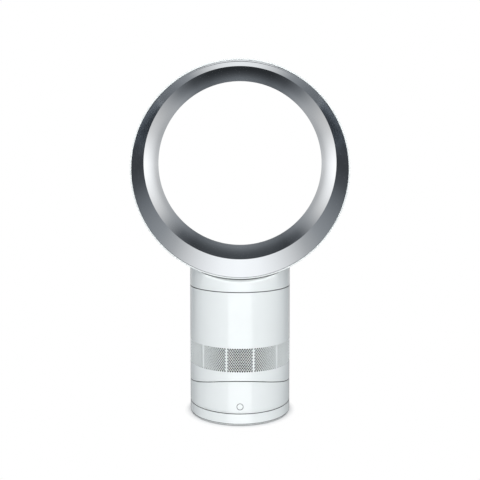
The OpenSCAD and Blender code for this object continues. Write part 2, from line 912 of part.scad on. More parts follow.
module housing_seal() {
  color("dimgray") tube(fit_r - near, bore_r - ledge_w - seal_side, ledge_z + ledge_t, housing_flange_z);
}

module bucket_lower() {
  color("gray") difference() {
    union() {
      difference() {
        tube(bucket_r, 0, bucket_z, bucket_split);
        tube(bucket_bore_r, 0, bucket_z + bucket_wall, bucket_split + cut);
      }
      tube(bearing_r + bearing_seat, 0, bucket_z, bucket_z + bearing_t + seat_over);
    }
    translate([0, 0, bucket_z - cut]) cylinder(h = bearing_t + seat_over + 2 * cut, r = bearing_r);
  }
}

module bucket_upper() {
  floor_z = bucket_split + bucket_joint;
  dome_z = bucket_split + bucket_skirt_h;
  dome_h = bucket_top - dome_z;
  color("gray") difference() {
    union() {
      rotate_extrude() polygon(concat([[bucket_bore_r, floor_z], [bucket_r, floor_z]],
        [for (i = [0:dome_steps]) let (a = 90 * i / dome_steps)
          [max(0, bucket_r * cos(a)), dome_z + dome_h * sin(a)]],
        [for (i = [dome_steps:-1:0]) let (a = 90 * i / dome_steps)
          [max(0, bucket_bore_r * cos(a)), dome_z + (dome_h - bucket_wall) * sin(a)]]));
      tube(bucket_bore_r + hair, 0, floor_z, floor_z + bucket_wall);
      tube(bearing_r + bearing_seat, 0, floor_z, floor_z + bearing_t + seat_over);
      round_places(3, motor_board_r - motor_post_inset, 0) tube(motor_post_r, 0, floor_z, motor_board_z);
    }
    translate([0, 0, bucket_split - cut]) cylinder(h = bearing_t + seat_over + 3 * cut, r = bearing_r);
  }
}

module motor_board() {
  color("darkgreen") difference() {
    union() {
      tube(motor_board_r, 0, motor_board_z, motor_board_z + board_t);
      translate([-driver_w / 2, driver_side - motor_board_r, motor_board_z + board_t - hair])
        cube([driver_w, driver_d, driver_h]);
      translate([-logic_w / 2, motor_board_r - driver_side - driver_d, motor_board_z + board_t - hair])
        cube([logic_w, logic_w, logic_h]);
    }
    translate([0, 0, motor_board_z - cut]) cylinder(h = board_t + driver_h + 2 * cut, r = motor_board_hole_r);
  }
}

module tooth_places() {
  for (i = [0:stator_teeth - 1]) rotate([0, 0, i * 360 / stator_teeth]) children();
}

module motor_stator() {
  color("silver") difference() {
    union() {
      tube(bucket_bore_r - hair, yoke_r, stator_z, stator_z + stator_h);
      tooth_places() translate([rotor_r + tooth_gap, -tooth_w / 2, stator_z])
        cube([yoke_r - rotor_r, tooth_w, stator_h]);
    }
    tube(rotor_r + cut, 0, stator_z - cut, stator_z + stator_h + cut);
  }
}

module stator_windings() {
  inner = rotor_r + coil_inner_gap;
  color("peru") tooth_places() difference() {
    translate([inner, -coil_w / 2, stator_z - coil_over])
      cube([yoke_r - coil_outer_gap - inner, coil_w, stator_h + 2 * coil_over]);
    translate([rotor_r, -tooth_w / 2, stator_z]) cube([yoke_r, tooth_w, stator_h]);
  }
}

module motor_bearings() {
  color("silver") for (z = [bucket_z + hair, bucket_split + near])
    tube(bearing_r, shaft_r + running_fit, z, z + bearing_t);
}

module diffuser() {
  color("gray") union() {
    tube(bucket_r + diffuser_ring_t, bucket_r, diffuser_low, diffuser_top);
    tube(duct_r - hair, duct_r - diffuser_ring_t, diffuser_low, diffuser_top);
    intersection() {
      tube(duct_r - diffuser_lap, bucket_r + diffuser_lap, diffuser_low, diffuser_top);
      round_places(vanes, bucket_r, 0) translate([0, 0, (diffuser_low + diffuser_top) / 2])
        rotate([vane_lean, 0, 0]) translate([-cut, -vane_t / 2, -vane_len / 2])
          cube([duct_r - bucket_r + 2 * cut, vane_t, vane_len]);
    }
  }
}

module upper_silencer() {
  color("dimgray") tube(fit_r - foam_fit, fit_r - foam_fit - silencer_t,
    housing_flange_z + housing_flange_t, duct_top);
}

module body_collar() {
  gap_angle = lug_angle + lug_room;
  color("lightgray") difference() {
    union() {
      tube(fit_r, fit_r - collar_wall, collar_z, collar_top);
      tube(fit_r, spigot_r + spigot_side, lock_z, lock_z + lock_t);
      tube(fit_r, duct_r + collar_floor_side, collar_z, collar_z + collar_floor_t);
      for (i = [0:lugs - 1]) rotate([0, 0, i * 360 / lugs - lug_angle / 2 - stop_gap])
        rotate_extrude(angle = stop_angle) translate([spigot_r + stop_side, lock_z - lug_h])
          square([fit_r - spigot_r - 2 * stop_side, lug_h + hair]);
    }
    for (i = [0:lugs - 1]) rotate([0, 0, i * 360 / lugs + twist_angle - gap_angle / 2])
      rotate_extrude(angle = gap_angle) translate([spigot_r - cut, lock_z - cut])
        square([lug_w + cut + 2 * near, lock_t + 2 * cut]);
  }
}

// Impeller
module impeller() {
  inside = mouth_r - shroud_gap - shroud_t;
  drum_h = impeller_top - impeller_low;
  color("gray") difference() {
    union() {
      rotate_extrude() polygon([[0, impeller_low], [hub_nose_r, impeller_low], [hub_big_r, impeller_top],
        [hub_big_r - hub_skin, impeller_top], [hub_nose_r, impeller_low + hub_nose_h],
        [hub_nose_r, impeller_top - hub_sink], [0, impeller_top - hub_sink]]);
      rotate_extrude() polygon([[inside + cone_slope, impeller_low], [inside + shroud_t + cone_slope, impeller_low],
        [inside + shroud_t + cone_slope * (impeller_rise + drum_h), impeller_top],
        [inside + cone_slope * (impeller_rise + drum_h), impeller_top]]);
      intersection() {
        rotate_extrude() polygon([[hub_nose_r + blade_root, impeller_low + blade_low],
          [inside + cone_slope * (impeller_rise + blade_low) + blade_bite, impeller_low + blade_low],
          [inside + cone_slope * drum_h + blade_bite, impeller_top - cut],
          [hub_big_r - blade_lap, impeller_top - cut]]);
        for (i = [0:blades - 1]) rotate([0, 0, i * 360 / blades]) translate([0, -blade_arc_r, 0]) difference() {
          tube(blade_arc_r + blade_t / 2, blade_arc_r - blade_t / 2, impeller_low, impeller_top);
          translate([-2 * blade_arc_r, -2 * blade_arc_r, impeller_low - cut])
            cube([4 * blade_arc_r, 2 * blade_arc_r, drum_h + 2 * cut]);
          translate([-2 * blade_arc_r, -cut, impeller_low - cut])
            cube([2 * blade_arc_r, 3 * blade_arc_r, drum_h + 2 * cut]);
        }
      }
    }
    translate([0, 0, impeller_low - cut]) cylinder(h = drum_h, r = shaft_r);
  }
}

module motor_shaft() {
  color("silver") tube(shaft_r, 0, throat_z + shaft_rise, bucket_split + bearing_t + cut);
}

module rotor_magnet() {
  color("dimgray") tube(rotor_r, shaft_r, stator_z, stator_z + stator_h);
}

// Nozzle
module ring_shell() {
  turned(concat([[ring_r - ring_wall, rim_front], [ring_r - rim_edge, rim_front], [ring_r, rim_front + rim_edge]],
    arc_points(ring_r - rear_edge_r, ring_back - rear_edge_r, rear_edge_r, 0, 90, edge_steps),
    arc_points(ring_r - rear_edge_r, ring_back - rear_edge_r, rear_edge_r - ring_wall, 90, 0, edge_steps)), casing_z);
  difference() {
    y_bar(ring_r - rear_edge_r, casing_z, ring_back - ring_wall, ring_back);
    y_bar(throat_r + lip_edge_r, ring_z, ring_back - ring_wall - cut, ring_back + cut);
  }
  turned(concat([[throat_r, lip_front + rim_edge], [throat_r, lip_bend_y]],
    arc_points(throat_r + lip_edge_r, lip_bend_y, lip_edge_r, lip_turn, 90, edge_steps),
    arc_points(throat_r + lip_edge_r, lip_bend_y, lip_edge_r - ring_wall, 90, lip_turn, edge_steps),
    [[throat_r + ring_wall, lip_bend_y], [throat_r + ring_wall, lip_front], [throat_r + rim_edge, lip_front]]), ring_z);
}

module neck_outer() {
  difference() {
    tube(body_r, 0, neck_bottom, neck_top);
    y_bar(ring_r - ring_wall / 2, casing_z, -saddle_half, saddle_half);
    y_bar(ring_r + neck_step, casing_z, -body_d, -saddle_half + hair);
    y_bar(ring_r + neck_step, casing_z, saddle_half - hair, body_d);
  }
}

module nozzle_casing() {
  color("white") difference() {
    union() {
      ring_shell();
      neck_outer();
    }
    difference() {
      translate([0, 0, neck_bottom - cut]) cylinder(h = neck_top - neck_bottom + 2 * cut, r = bore_r);
      y_bar(ring_r + neck_step + shell_wall, casing_z, -body_d, body_d);
    }
    intersection() {
      translate([0, 0, neck_bottom + passage_rise]) cylinder(h = neck_top - neck_bottom, r = bore_r - passage_inset);
      translate([-body_r, passage_inset - saddle_half, neck_bottom])
        cube([body_d, 2 * (saddle_half - passage_inset), neck_top]);
    }
  }
}

module nozzle_inner_wall() {
  front_r = face_r - face_land;
  back_y = crease_y + 2 * cut;
  color("silver") difference() {
    union() {
      leaning_cone(ring_front + face_skin, front_r, casing_z,
        crease_y + face_skin + cut, crease_r - taper_rate * cut, ring_z + taper_lift * cut);
      turned([[0, crease_y - cut], [crease_r + ring_wall, crease_y - cut],
        [crease_r - guide_drop + ring_wall, guide_y], [slot_r + slot_flare + ring_wall, fan_out_y],
        [slot_r + ring_wall, lip_front], [slot_r + ring_wall, wall_end_y], [0, wall_end_y]], ring_z);
      difference() {
        y_bar(face_r, casing_z, ring_front, ring_front + skirt_len);
        y_bar(face_r - ring_wall, casing_z, ring_front - cut, ring_front + skirt_len + cut);
      }
    }
    leaning_cone(ring_front - cut, front_r + taper_rate * cut, casing_z - taper_lift * cut,
      back_y, crease_r - 2 * taper_rate * cut, casing_z + (back_y - ring_front) * taper_lift);
    turned([[0, crease_y - guide_over], [crease_r + guide_over * guide_rate, crease_y - guide_over],
      [crease_r - guide_drop, guide_y], [slot_r + slot_flare, fan_out_y], [slot_r, lip_front],
      [slot_r, wall_end_y + cut], [0, wall_end_y + cut]], ring_z);
  }
}

module front_seal() {
  color("dimgray") difference() {
    y_bar(ring_r - ring_wall - hair, casing_z, rim_front + seal_sink, ring_front + skirt_len - cut);
    y_bar(face_r + hair, casing_z, rim_front, ring_front + skirt_len);
  }
}

module slot_spacers() {
  color("gainsboro") translate([0, 0, ring_z]) rotate([-90, 0, 0])
    for (i = [0:spacers - 1]) rotate([0, 0, (i + 0.5) * 360 / spacers - spacer_angle / 2])
      rotate_extrude(angle = spacer_angle, $fn = large_fn)
        translate([throat_r + ring_wall, lip_front + spacer_inset]) square([slot_w, spacer_len]);
}

module bayonet_ring() {
  lug_low = lock_z - lock_gap - lug_h + lug_side;
  color("lightgray") union() {
    tube(spigot_r, spigot_r - spigot_t, lug_low - cut, bond_z + bond_t);
    tube(fit_r, spigot_r - spigot_t, bond_z, bond_z + bond_t);
    for (i = [0:lugs - 1]) rotate([0, 0, i * 360 / lugs - lug_angle / 2]) rotate_extrude(angle = lug_angle)
      translate([spigot_r - lug_bite, lug_low]) square([lug_w + lug_bite, lug_h - lug_side]);
  }
}

module neck_seal() {
  color("dimgray") tube(fit_r - seal_side, spigot_r + neck_seal_side, collar_top + near, bond_z);
}

base_shell();
foot_ring();
base_screws();
cord_gland();
pivot_post();
post_clip();
fixed_gear();
swivel_pad();
lower_shell();
lower_deck();
control_board();
board_screws();
button_board();
tact_switch();
remote_receiver();
swivel_motor();
motor_screws();
tilt_cradle();
tilt_glides();
cradle_screws();
power_button();
swivel_pinion();
main_casing();
tilt_shoe();
shoe_screws();
lower_silencer();
impeller_housing();
housing_seal();
bucket_lower();
bucket_upper();
motor_board();
motor_stator();
stator_windings();
motor_bearings();
diffuser();
upper_silencer();
body_collar();
impeller();
motor_shaft();
rotor_magnet();
nozzle_casing();
nozzle_inner_wall();
front_seal();
slot_spacers();
bayonet_ring();
neck_seal();
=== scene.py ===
from math import atan2, copysign, cos, hypot, pi, radians, sin, sqrt, tan

import bmesh
import bpy
from bpy.props import FloatProperty, FloatVectorProperty, IntProperty, PointerProperty
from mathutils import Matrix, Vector


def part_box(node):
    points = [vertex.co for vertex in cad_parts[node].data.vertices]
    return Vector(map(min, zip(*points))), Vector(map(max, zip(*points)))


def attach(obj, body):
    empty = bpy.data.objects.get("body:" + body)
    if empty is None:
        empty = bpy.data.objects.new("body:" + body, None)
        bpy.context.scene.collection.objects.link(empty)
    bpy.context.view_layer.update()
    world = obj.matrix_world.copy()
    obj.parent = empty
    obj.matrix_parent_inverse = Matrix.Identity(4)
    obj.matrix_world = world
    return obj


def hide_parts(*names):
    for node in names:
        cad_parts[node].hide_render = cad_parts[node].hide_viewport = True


bl_info = {
    "name": "Bladeless fan",
    "version": (1, 0, 0),
    "blender": (4, 5, 0),
    "location": "3D View > Sidebar > Fan",
    "description": "Dresses the packed bladeless fan with its shells, finishes and studio",
    "category": "Object",
}

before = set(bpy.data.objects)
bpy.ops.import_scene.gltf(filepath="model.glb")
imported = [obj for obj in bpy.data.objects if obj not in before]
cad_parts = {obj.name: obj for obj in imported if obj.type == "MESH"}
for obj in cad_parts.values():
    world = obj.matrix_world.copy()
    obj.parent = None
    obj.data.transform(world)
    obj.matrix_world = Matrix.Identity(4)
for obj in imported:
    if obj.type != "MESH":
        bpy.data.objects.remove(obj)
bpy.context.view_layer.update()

MM = 0.001
TURN = 2 * pi
COLUMNS = 288
FILLET_STEPS = 5
PATCH_STEPS = 8
LONGEST_SUPPORT = 0.3 * MM
HOLE_EDGE = 0.12 * MM
HOLE_SIDES = 12
SMALL_COLUMNS = 64


def node_size(node, axis, side):
    """One coordinate of a node's box, side 0 for the lowest corner and 1 for the highest."""
    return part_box(node)[side][axis]


# Sizes and colours that a user would change

def setting(kind, **always):
    """A maker of properties of one kind."""
    return lambda name, description, default: kind(
        name=name, description=description, default=default, **always)


Length = setting(FloatProperty, unit="LENGTH")
Angle = setting(FloatProperty, subtype="ANGLE", unit="ROTATION")
Level = setting(FloatProperty)
Count = setting(IntProperty)
Colour = setting(FloatVectorProperty, subtype="COLOR", size=3)


class FanSizes(bpy.types.PropertyGroup):
    """Sizes of the shells that are modelled here"""

    body_radius: Length("Body radius", "Outside of the round body", node_size("base_shell", 0, 1))
    wall: Length("Shell wall", "Thickness of the white body shells", 2.4 * MM)
    edge: Length("Seam edge", "Rounding of the shells along their seams", 0.22 * MM)
    tilt_height: Length("Tilt axis height", "Height of the axis that the body tilts about", 237 * MM)
    tilt_upper: Length("Upper tilt arc", "Radius of the arc along the casing's lower edge", 188 * MM)
    tilt_lower: Length("Lower tilt arc", "Radius of the arc along the lower shell's upper edge", 189 * MM)
    seam_top: Length("Foot seam top", "Lower edge of the lower shell", node_size("lower_shell", 2, 0))
    button_height: Length("Button height", "Height of the button's middle", 27.3 * MM)
    button_radius: Length("Button radius", "Outside of the button", 4.4 * MM)
    button_gap: Length("Button gap", "Clearance round the button", 0.3 * MM)
    inlet_middle: Length("Inlet height", "Height of the middle row of inlet holes", 91.85 * MM)
    inlet_hole: Length("Inlet hole", "Diameter of one inlet hole", 2.6 * MM)
    inlet_wall: Length("Inlet wall", "Thickness of the perforated band", 2.1 * MM)
    inlet_row: Length("Row spacing", "Height between two rows of inlet holes", 2.18 * MM)
    inlet_pitch: Angle("Hole pitch", "Angle between two holes of a row", radians(2.65))
    inlet_blocks: Count("Inlet blocks", "Blocks of holes round the body", 12)
    inlet_columns: Count("Holes in a row", "Holes in the longer rows of one block", 11)
    inlet_rows: Count("Rows of holes", "Rows of holes in one block", 15)


class RingSizes(bpy.types.PropertyGroup):
    """Sizes of the ring and the neck under it"""

    outer_radius: Length("Ring radius", "Outside of the white ring", node_size("nozzle_casing", 0, 1))
    outer_height: Length("Outer axis height", "Height of the axis of the white ring", 352 * MM)
    opening_height: Length("Opening axis height", "Height of the axis of the opening", 360.5 * MM)
    wall: Length("Ring wall", "Thickness of the ring's walls", 1.8 * MM)
    rim_width: Length("Rim width", "Width of the white rim round the silver face", 2.05 * MM)
    face_radius: Length("Face radius", "Outside of the silver face", 148.5 * MM)
    crease_radius: Length("Crease radius", "Where the face meets the guide wall", 133.7 * MM)
    throat_radius: Length("Throat radius", "Inside of the rear lip", 122.3 * MM)
    rear_edge: Length("Rear edge", "Rounding of the ring's outer rear edge", 10 * MM)
    lip_edge: Length("Lip edge", "Rounding of the rear lip", 8 * MM)
    shoulder_gap: Length("Shoulder gap", "Shadow gap between the ring and the neck's shoulder", 1 * MM)
    saddle_half: Length("Saddle", "Half of the depth over which the neck joins the ring", 49 * MM)


class FanColours(bpy.types.PropertyGroup):
    """Colours of the finishes"""

    white: Colour("White", "Gloss white plastic", (0.852, 0.882, 0.872))
    silver: Colour("Silver", "Satin metallic paint", (0.84, 0.87, 0.9))
    rubber: Colour("Rubber", "Foot ring, seals and gland", (0.045, 0.046, 0.05))


class StudioLight(bpy.types.PropertyGroup):
    """Levels of the studio light"""

    fill: Level("Fill", "Brightness of the soft light from all round", 0.3)
    softbox: Level("Softbox", "Brightness of the softbox in front", 2.15)
    overhead: Level("Overhead", "Brightness of the softbox above the front", 5.6)
    rear: Level("Rear", "Brightness of the softbox behind", 6)
    reflector: Level("Reflector", "Brightness of the low panel that the gloss mirrors", 2.4)


# Paths and rings of points

def fillet(path, radii):
    """Rounds the corners of an open path of (across, along) points; a radius of 0 keeps a corner.

    A support point before and after each rounding keeps the flat parts beside it flat.
    """
    made = []
    for i, (corner, radius) in enumerate(zip(map(Vector, path), radii)):
        if radius == 0:
            made.append(corner)
            continue
        before = (Vector(path[i - 1]) - corner).normalized()
        after = (Vector(path[i + 1]) - corner).normalized()
        half = before.angle(after) / 2
        reach = radius / tan(half)
        middle = corner + (before + after).normalized() * (radius / sin(half))
        start = corner + before * reach
        end = corner + after * reach
        support = min(radius / 2, LONGEST_SUPPORT)
        made.append(start + before * support)
        sweep = pi - 2 * half
        for step in range(FILLET_STEPS + 1):
            share = step / FILLET_STEPS
            first = sin((1 - share) * sweep) / sin(sweep)
            second = sin(share * sweep) / sin(sweep)
            made.append(middle + (start - middle) * first + (end - middle) * second)
        made.append(end + after * support)
    return made


def wall_end(first, second, end, reach, *edges):
    """The path round a wall's end, from one side to the other, with its two corners rounded."""
    return fillet([(first, end + reach), (first, end), (second, end), (second, end + reach)], [0, *edges, 0])


def arc(middle, radius, start, end, steps):
    """Points of an arc in the (across, along) plane, with its angles in degrees."""
    points = []
    for step in range(steps + 1):
        angle = radians(start + (end - start) * step / steps)
        points.append(Vector((middle[0] + radius * cos(angle), middle[1] + radius * sin(angle))))
    return points


def even_angles(count):
    return [TURN * step / count for step in range(count)]


def upright_ring(radius, height, angles=None):
    """A ring of points about the body's axis; height may be a function of how far back a point is."""
    points = []
    for angle in angles or even_angles(COLUMNS):
        x, y = radius * sin(angle), -radius * cos(angle)
        points.append((x, y, height(y) if callable(height) else height))
    return points


def facing_ring(radius, depth, centre_height, columns=COLUMNS):
    """A ring of points about an axis that runs from front to back."""
    return [(radius * cos(angle), depth, centre_height + radius * sin(angle))
            for angle in even_angles(columns)]


def tilt_edge(sizes, radius, lift):
    """Heights along the seam that the body tilts over."""
    return lambda y: sizes.tilt_height - sqrt(radius ** 2 - y ** 2) + lift


def towards(edge, level, share):
    """Heights between a curved edge and a level line."""
    return lambda y: edge(y) * (1 - share) + level * share


class Skin:
    """Collects shared points and faces of one mesh."""

    def __init__(self):
        self.points = []
        self.faces = []
        self.known = {}

    def point(self, position, key=None):
        """The number of a point; one with a key is made once and shared."""
        if key is None or key not in self.known:
            self.points.append(tuple(position))
            self.known[key] = len(self.points) - 1
        return self.known[key]

    def ring(self, positions):
        return [self.point(p) for p in positions]

    def join(self, first, second, around=True):
        """Quads between two rings of the same count."""
        count = len(first)
        for i in range(count if around else count - 1):
            j = (i + 1) % count
            self.faces.append((first[i], first[j], second[j], second[i]))

    def join_all(self, numbers):
        """Joins rings of point numbers in order."""
        for first, second in zip(numbers, numbers[1:]):
            self.join(first, second)

    def loft(self, rings, closed=True):
        """Joins a list of rings of positions in order, and returns their point numbers."""
        numbers = [self.ring(r) for r in rings]
        self.join_all(numbers)
        if closed:
            self.join(numbers[-1], numbers[0])
        return numbers

    def pierced_loft(self, rings, hole, outer_start, outer, inner_start, inner):
        """Makes a closed round wall from rings, with a hole through its outer and its inner patch."""
        numbers = [self.ring(r) for r in rings]
        open_patch = {(start + i, c) for start in (outer_start, inner_start)
                      for i in range(PATCH_STEPS) for c in hole.columns[:-1]}
        for i, first in enumerate(numbers):
            second = numbers[(i + 1) % len(numbers)]
            for c in range(COLUMNS):
                if (i, c) not in open_patch:
                    beside = (c + 1) % COLUMNS
                    self.faces.append((first[c], first[beside], second[beside], second[c]))
        front = hole.line(self, numbers, outer_start, outer, 1)
        rear = hole.line(self, numbers, inner_start, inner, -1)
        self.join(front, rear)

    def object(self, name, sharp_degrees=40):
        mesh = bpy.data.meshes.new(name)
        mesh.from_pydata(self.points, [], self.faces)
        mesh.validate()
        mesh.update()
        made = bpy.data.objects.new(name, mesh)
        bpy.context.scene.collection.objects.link(made)
        turn_outward(made)
        mesh.shade_smooth()
        mesh.set_sharp_from_angle(angle=radians(sharp_degrees))
        return made


class Hole:
    """A round hole through a round wall, cut out of a patch of its columns and rows.

    The patch reaches as far below and above the hole's middle; side is -1 for the front and 1 for the back.
    """

    def __init__(self, middle, half_columns, reach, radius, height, side=-1):
        self.columns = [(middle + c) % COLUMNS for c in range(-half_columns, half_columns + 1)]
        self.patch = [height - reach + 2 * reach * i / PATCH_STEPS for i in range(PATCH_STEPS + 1)]
        self.radius = radius
        self.height = height
        self.side = side

    def line(self, skin, numbers, start, wall_radius, inward):
        """Faces from the patch's border to the hole's rounded edge, whose points it returns.

        The edge sinks inward from a wall's outside, and outward, with an inward of -1, from its inside.
        """
        rows = numbers[start:start + PATCH_STEPS + 1]
        border = {row[c] for row in (rows[0], rows[-1]) for c in self.columns}
        border |= {row[c] for row in rows for c in (self.columns[0], self.columns[-1])}

        def turn_of(number):
            x, _, z = skin.points[number]
            return atan2(z - self.height, x)

        rings = [sorted(border, key=turn_of)]
        turns = [turn_of(number) for number in rings[0]]
        for out, sink in ((3, 0), (1, 0), (0.3, 0.3), (0, 1)):
            rim = self.radius + out * HOLE_EDGE
            ring = []
            for turn in turns:
                x = rim * cos(turn)
                y = self.side * (sqrt(wall_radius ** 2 - x ** 2) - sink * inward * HOLE_EDGE)
                ring.append((x, y, self.height + rim * sin(turn)))
            rings.append(skin.ring(ring))
        skin.join_all(rings)
        return rings[-1]


def turn_outward(made):
    """Makes every face of a closed piece look outward."""
    shape = bmesh.new()
    shape.from_mesh(made.data)
    bmesh.ops.recalc_face_normals(shape, faces=shape.faces)
    shape.to_mesh(made.data)
    shape.free()


def paint(made, slot, picked):
    """Gives a slot's finish to the faces that picked() tells by their middles."""
    made.data.materials.append(finish_for(slot))
    for face in made.data.polygons:
        if picked(face.center):
            face.material_index = len(made.data.materials) - 1


def paint_shade_inside(made, in_painted_shade):
    """A white shell, but for the picked faces, which get a dull near-black finish as painted shade: insides,
    seam roundings and gaps, where the white plastic lies in shade.
    """
    made.data.materials.append(finish_for("white_shell"))
    paint(made, "painted_shade_inside", in_painted_shade)


def within(radius):
    """Picks the points that are nearer to the body's axis than a radius."""
    return lambda p: hypot(p.x, p.y) < radius


def wall_and_seam(sizes):
    """Two picks: a body shell's points behind its outside, and those inside the rounding of a seam."""
    return within(sizes.body_radius - sizes.edge * 0.6), within(sizes.body_radius - sizes.edge * 0.1)


def place(made, body, slot, *nodes):
    """Gives a piece its body and, unless it has one, its slot's finish, and hides the nodes that it stands
    for.
    """
    if not made.data.materials:
        made.data.materials.append(finish_for(slot))
    if slot == "white_shell":
        bpy.data.collections["Mirrors the low reflector"].objects.link(made)
    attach(made, body)
    if nodes:
        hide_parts(*nodes)


# Finishes

class Graph:
    """Nodes under construction in one node tree."""

    def __init__(self, tree):
        self.nodes = tree.nodes
        self.links = tree.links

    def put(self, socket, value):
        """Feeds a socket from another one, or from a value."""
        if isinstance(value, bpy.types.NodeSocket):
            self.links.new(value, socket)
        else:
            socket.default_value = value

    def add(self, kind, *placed, **named):
        """A new node, its sockets fed by their order or by their names with underscores."""
        node = self.nodes.new("ShaderNode" + kind)
        for socket, value in zip(node.inputs, placed):
            self.put(socket, value)
        for name, value in named.items():
            self.put(node.inputs[name.replace("_", " ")], value)
        return node

    def blend(self, share, first, second):
        """A colour between two colours; each may be a socket or a plain colour."""
        node = self.nodes.new("ShaderNodeMix")
        node.data_type = "RGBA"
        self.put(node.inputs["Factor"], share)
        for socket, value in zip(node.inputs[6:8], (first, second)):
            self.put(socket, value if isinstance(value, bpy.types.NodeSocket) else (*value, 1))
        return node.outputs[2]

    def maths(self, operation, *values):
        node = self.add("Math", *values)
        node.operation = operation
        return node.outputs[0]


class Finish(Graph):
    """A node material under construction."""

    def __init__(self, name, **values):
        self.material = bpy.data.materials.new(name)
        self.material.use_nodes = True
        super().__init__(self.material.node_tree)
        self.shader = self.nodes["Principled BSDF"]
        self.place = self.add("TexCoord").outputs["Object"]
        self.set(**values)

    def set(self, **values):
        """Values on the shader's own sockets, by their names with underscores."""
        for name, value in values.items():
            self.put(self.shader.inputs[name.replace("_", " ")], value)

    def noise(self, scale, detail=3.0, roughness=0.55, stretch=None):
        source = self.add("Mapping", self.place, Scale=stretch).outputs[0] if stretch else self.place
        return self.add("TexNoise", source, Scale=scale, Detail=detail, Roughness=roughness).outputs["Fac"]

    def grains(self, scale):
        return self.add("TexVoronoi", self.place, Scale=scale).outputs["Distance"]

    def spread(self, source, low, high, start=0.3, end=0.7):
        """Maps a value between start and end to one between low and high."""
        return self.add("MapRange", source, start, end, low, high).outputs["Result"]

    def colour(self, base, change, scale=35.0):
        """A base colour that drifts softly by a share of itself."""
        share = self.spread(self.noise(scale), 0, 1)
        return self.blend(share, shade(base, 1 - change), shade(base, 1 + change))

    def lighten_convex_edges(self, colour, edge_colour):
        """Lightens a colour along convex edges."""
        edges = self.add("NewGeometry").outputs["Pointiness"]
        return self.blend(self.spread(edges, 0, 0.5, 0.52, 0.6), colour, edge_colour)

    def bump(self, height, depth, strength=1.0):
        self.set(Normal=self.add("Bump", Strength=strength, Distance=depth, Height=height).outputs["Normal"])

    def done(self, colour, roughness):
        self.set(Base_Color=colour, Roughness=roughness)
        return self.material


def shade(colour, by, lift=0):
    """A colour made darker or lighter."""
    return [min(1, c * by + lift) for c in colour]


def gloss_white(colour):
    """Polished white plastic with faint flow marks and a few finer scuffs."""
    f = Finish("Gloss white plastic", IOR=1.46)
    f.bump(f.noise(45, 2), 0.02 * MM)
    tone = f.lighten_convex_edges(f.colour(colour, 0.006), shade(colour, 1.02))
    return f.done(tone, f.spread(f.noise(160, 6), 0.05, 0.085))


def satin_silver(colour):
    """Satin metallic paint with fine flakes."""
    f = Finish("Satin silver paint", Metallic=1.0, IOR=1.5)
    flakes = f.grains(5200)
    f.bump(flakes, 0.0008 * MM, 0.5)
    tone = f.blend(f.spread(flakes, 0, 1, 0.1, 0.8), f.colour(colour, 0.012, 20), shade(colour, 0.97))
    return f.done(tone, f.spread(f.noise(420, 4), 0.09, 0.12))


def moulded(name, base, change, low, high, grain=900, depth=0.03 * MM, metallic=0.0):
    """Moulded plastic or rubber with a fine eroded texture."""
    f = Finish(name, Metallic=metallic)
    f.bump(f.noise(grain, 4), depth)
    tone = f.lighten_convex_edges(f.colour(base, change), shade(base, 1.4, 0.02))
    return f.done(tone, f.spread(f.noise(grain * 0.4, 5), low, high))


def drawn_metal(name, base, low, high, stretch=(1, 1, 14)):
    """Metal with fine lines from drawing or turning."""
    f = Finish(name, Metallic=1.0)
    lines = f.noise(260, 5, 0.6, stretch)
    f.bump(lines, 0.01 * MM)
    tone = f.lighten_convex_edges(f.blend(f.spread(lines, 0, 1), shade(base, 0.86), base), shade(base, 1.15))
    return f.done(tone, f.spread(lines, low, high))


def foam(name, base):
    """Open cell foam with deep pores."""
    f = Finish(name)
    cells = f.grains(700)
    f.bump(cells, 0.6 * MM)
    tone = f.blend(f.spread(cells, 0, 1, 0.1, 0.6), shade(base, 0.45), base)
    return f.done(tone, f.spread(f.noise(300, 5), 0.9, 1.0))


def board_green(name, base, copper):
    """Circuit board with solder mask and lighter tracks."""
    f = Finish(name)
    greys = [(grey, grey, grey, 1) for grey in (0, 0.2, 1)]
    tracks = f.add("TexBrick", f.place, *greys, Scale=180, Mortar_Size=0.03).outputs["Color"]
    f.bump(tracks, 0.03 * MM)
    tone = f.blend(f.spread(tracks, 0, 0.7, 0, 1), f.colour(base, 0.2, 90), copper)
    return f.done(tone, f.spread(f.noise(200, 4), 0.25, 0.4))


def wound_copper(name, base):
    """Enamelled copper wire, laid side by side."""
    f = Finish(name, Metallic=1.0)
    wave = f.add("TexWave", f.place, Scale=500, Distortion=0.6)
    wave.bands_direction = "Z"
    turns = wave.outputs["Fac"]
    f.bump(turns, 0.2 * MM)
    tone = f.blend(f.spread(turns, 0, 1, 0, 1), shade(base, 0.35), base)
    return f.done(tone, f.spread(turns, 0.3, 0.5, 0, 1))


FINISHES = {}


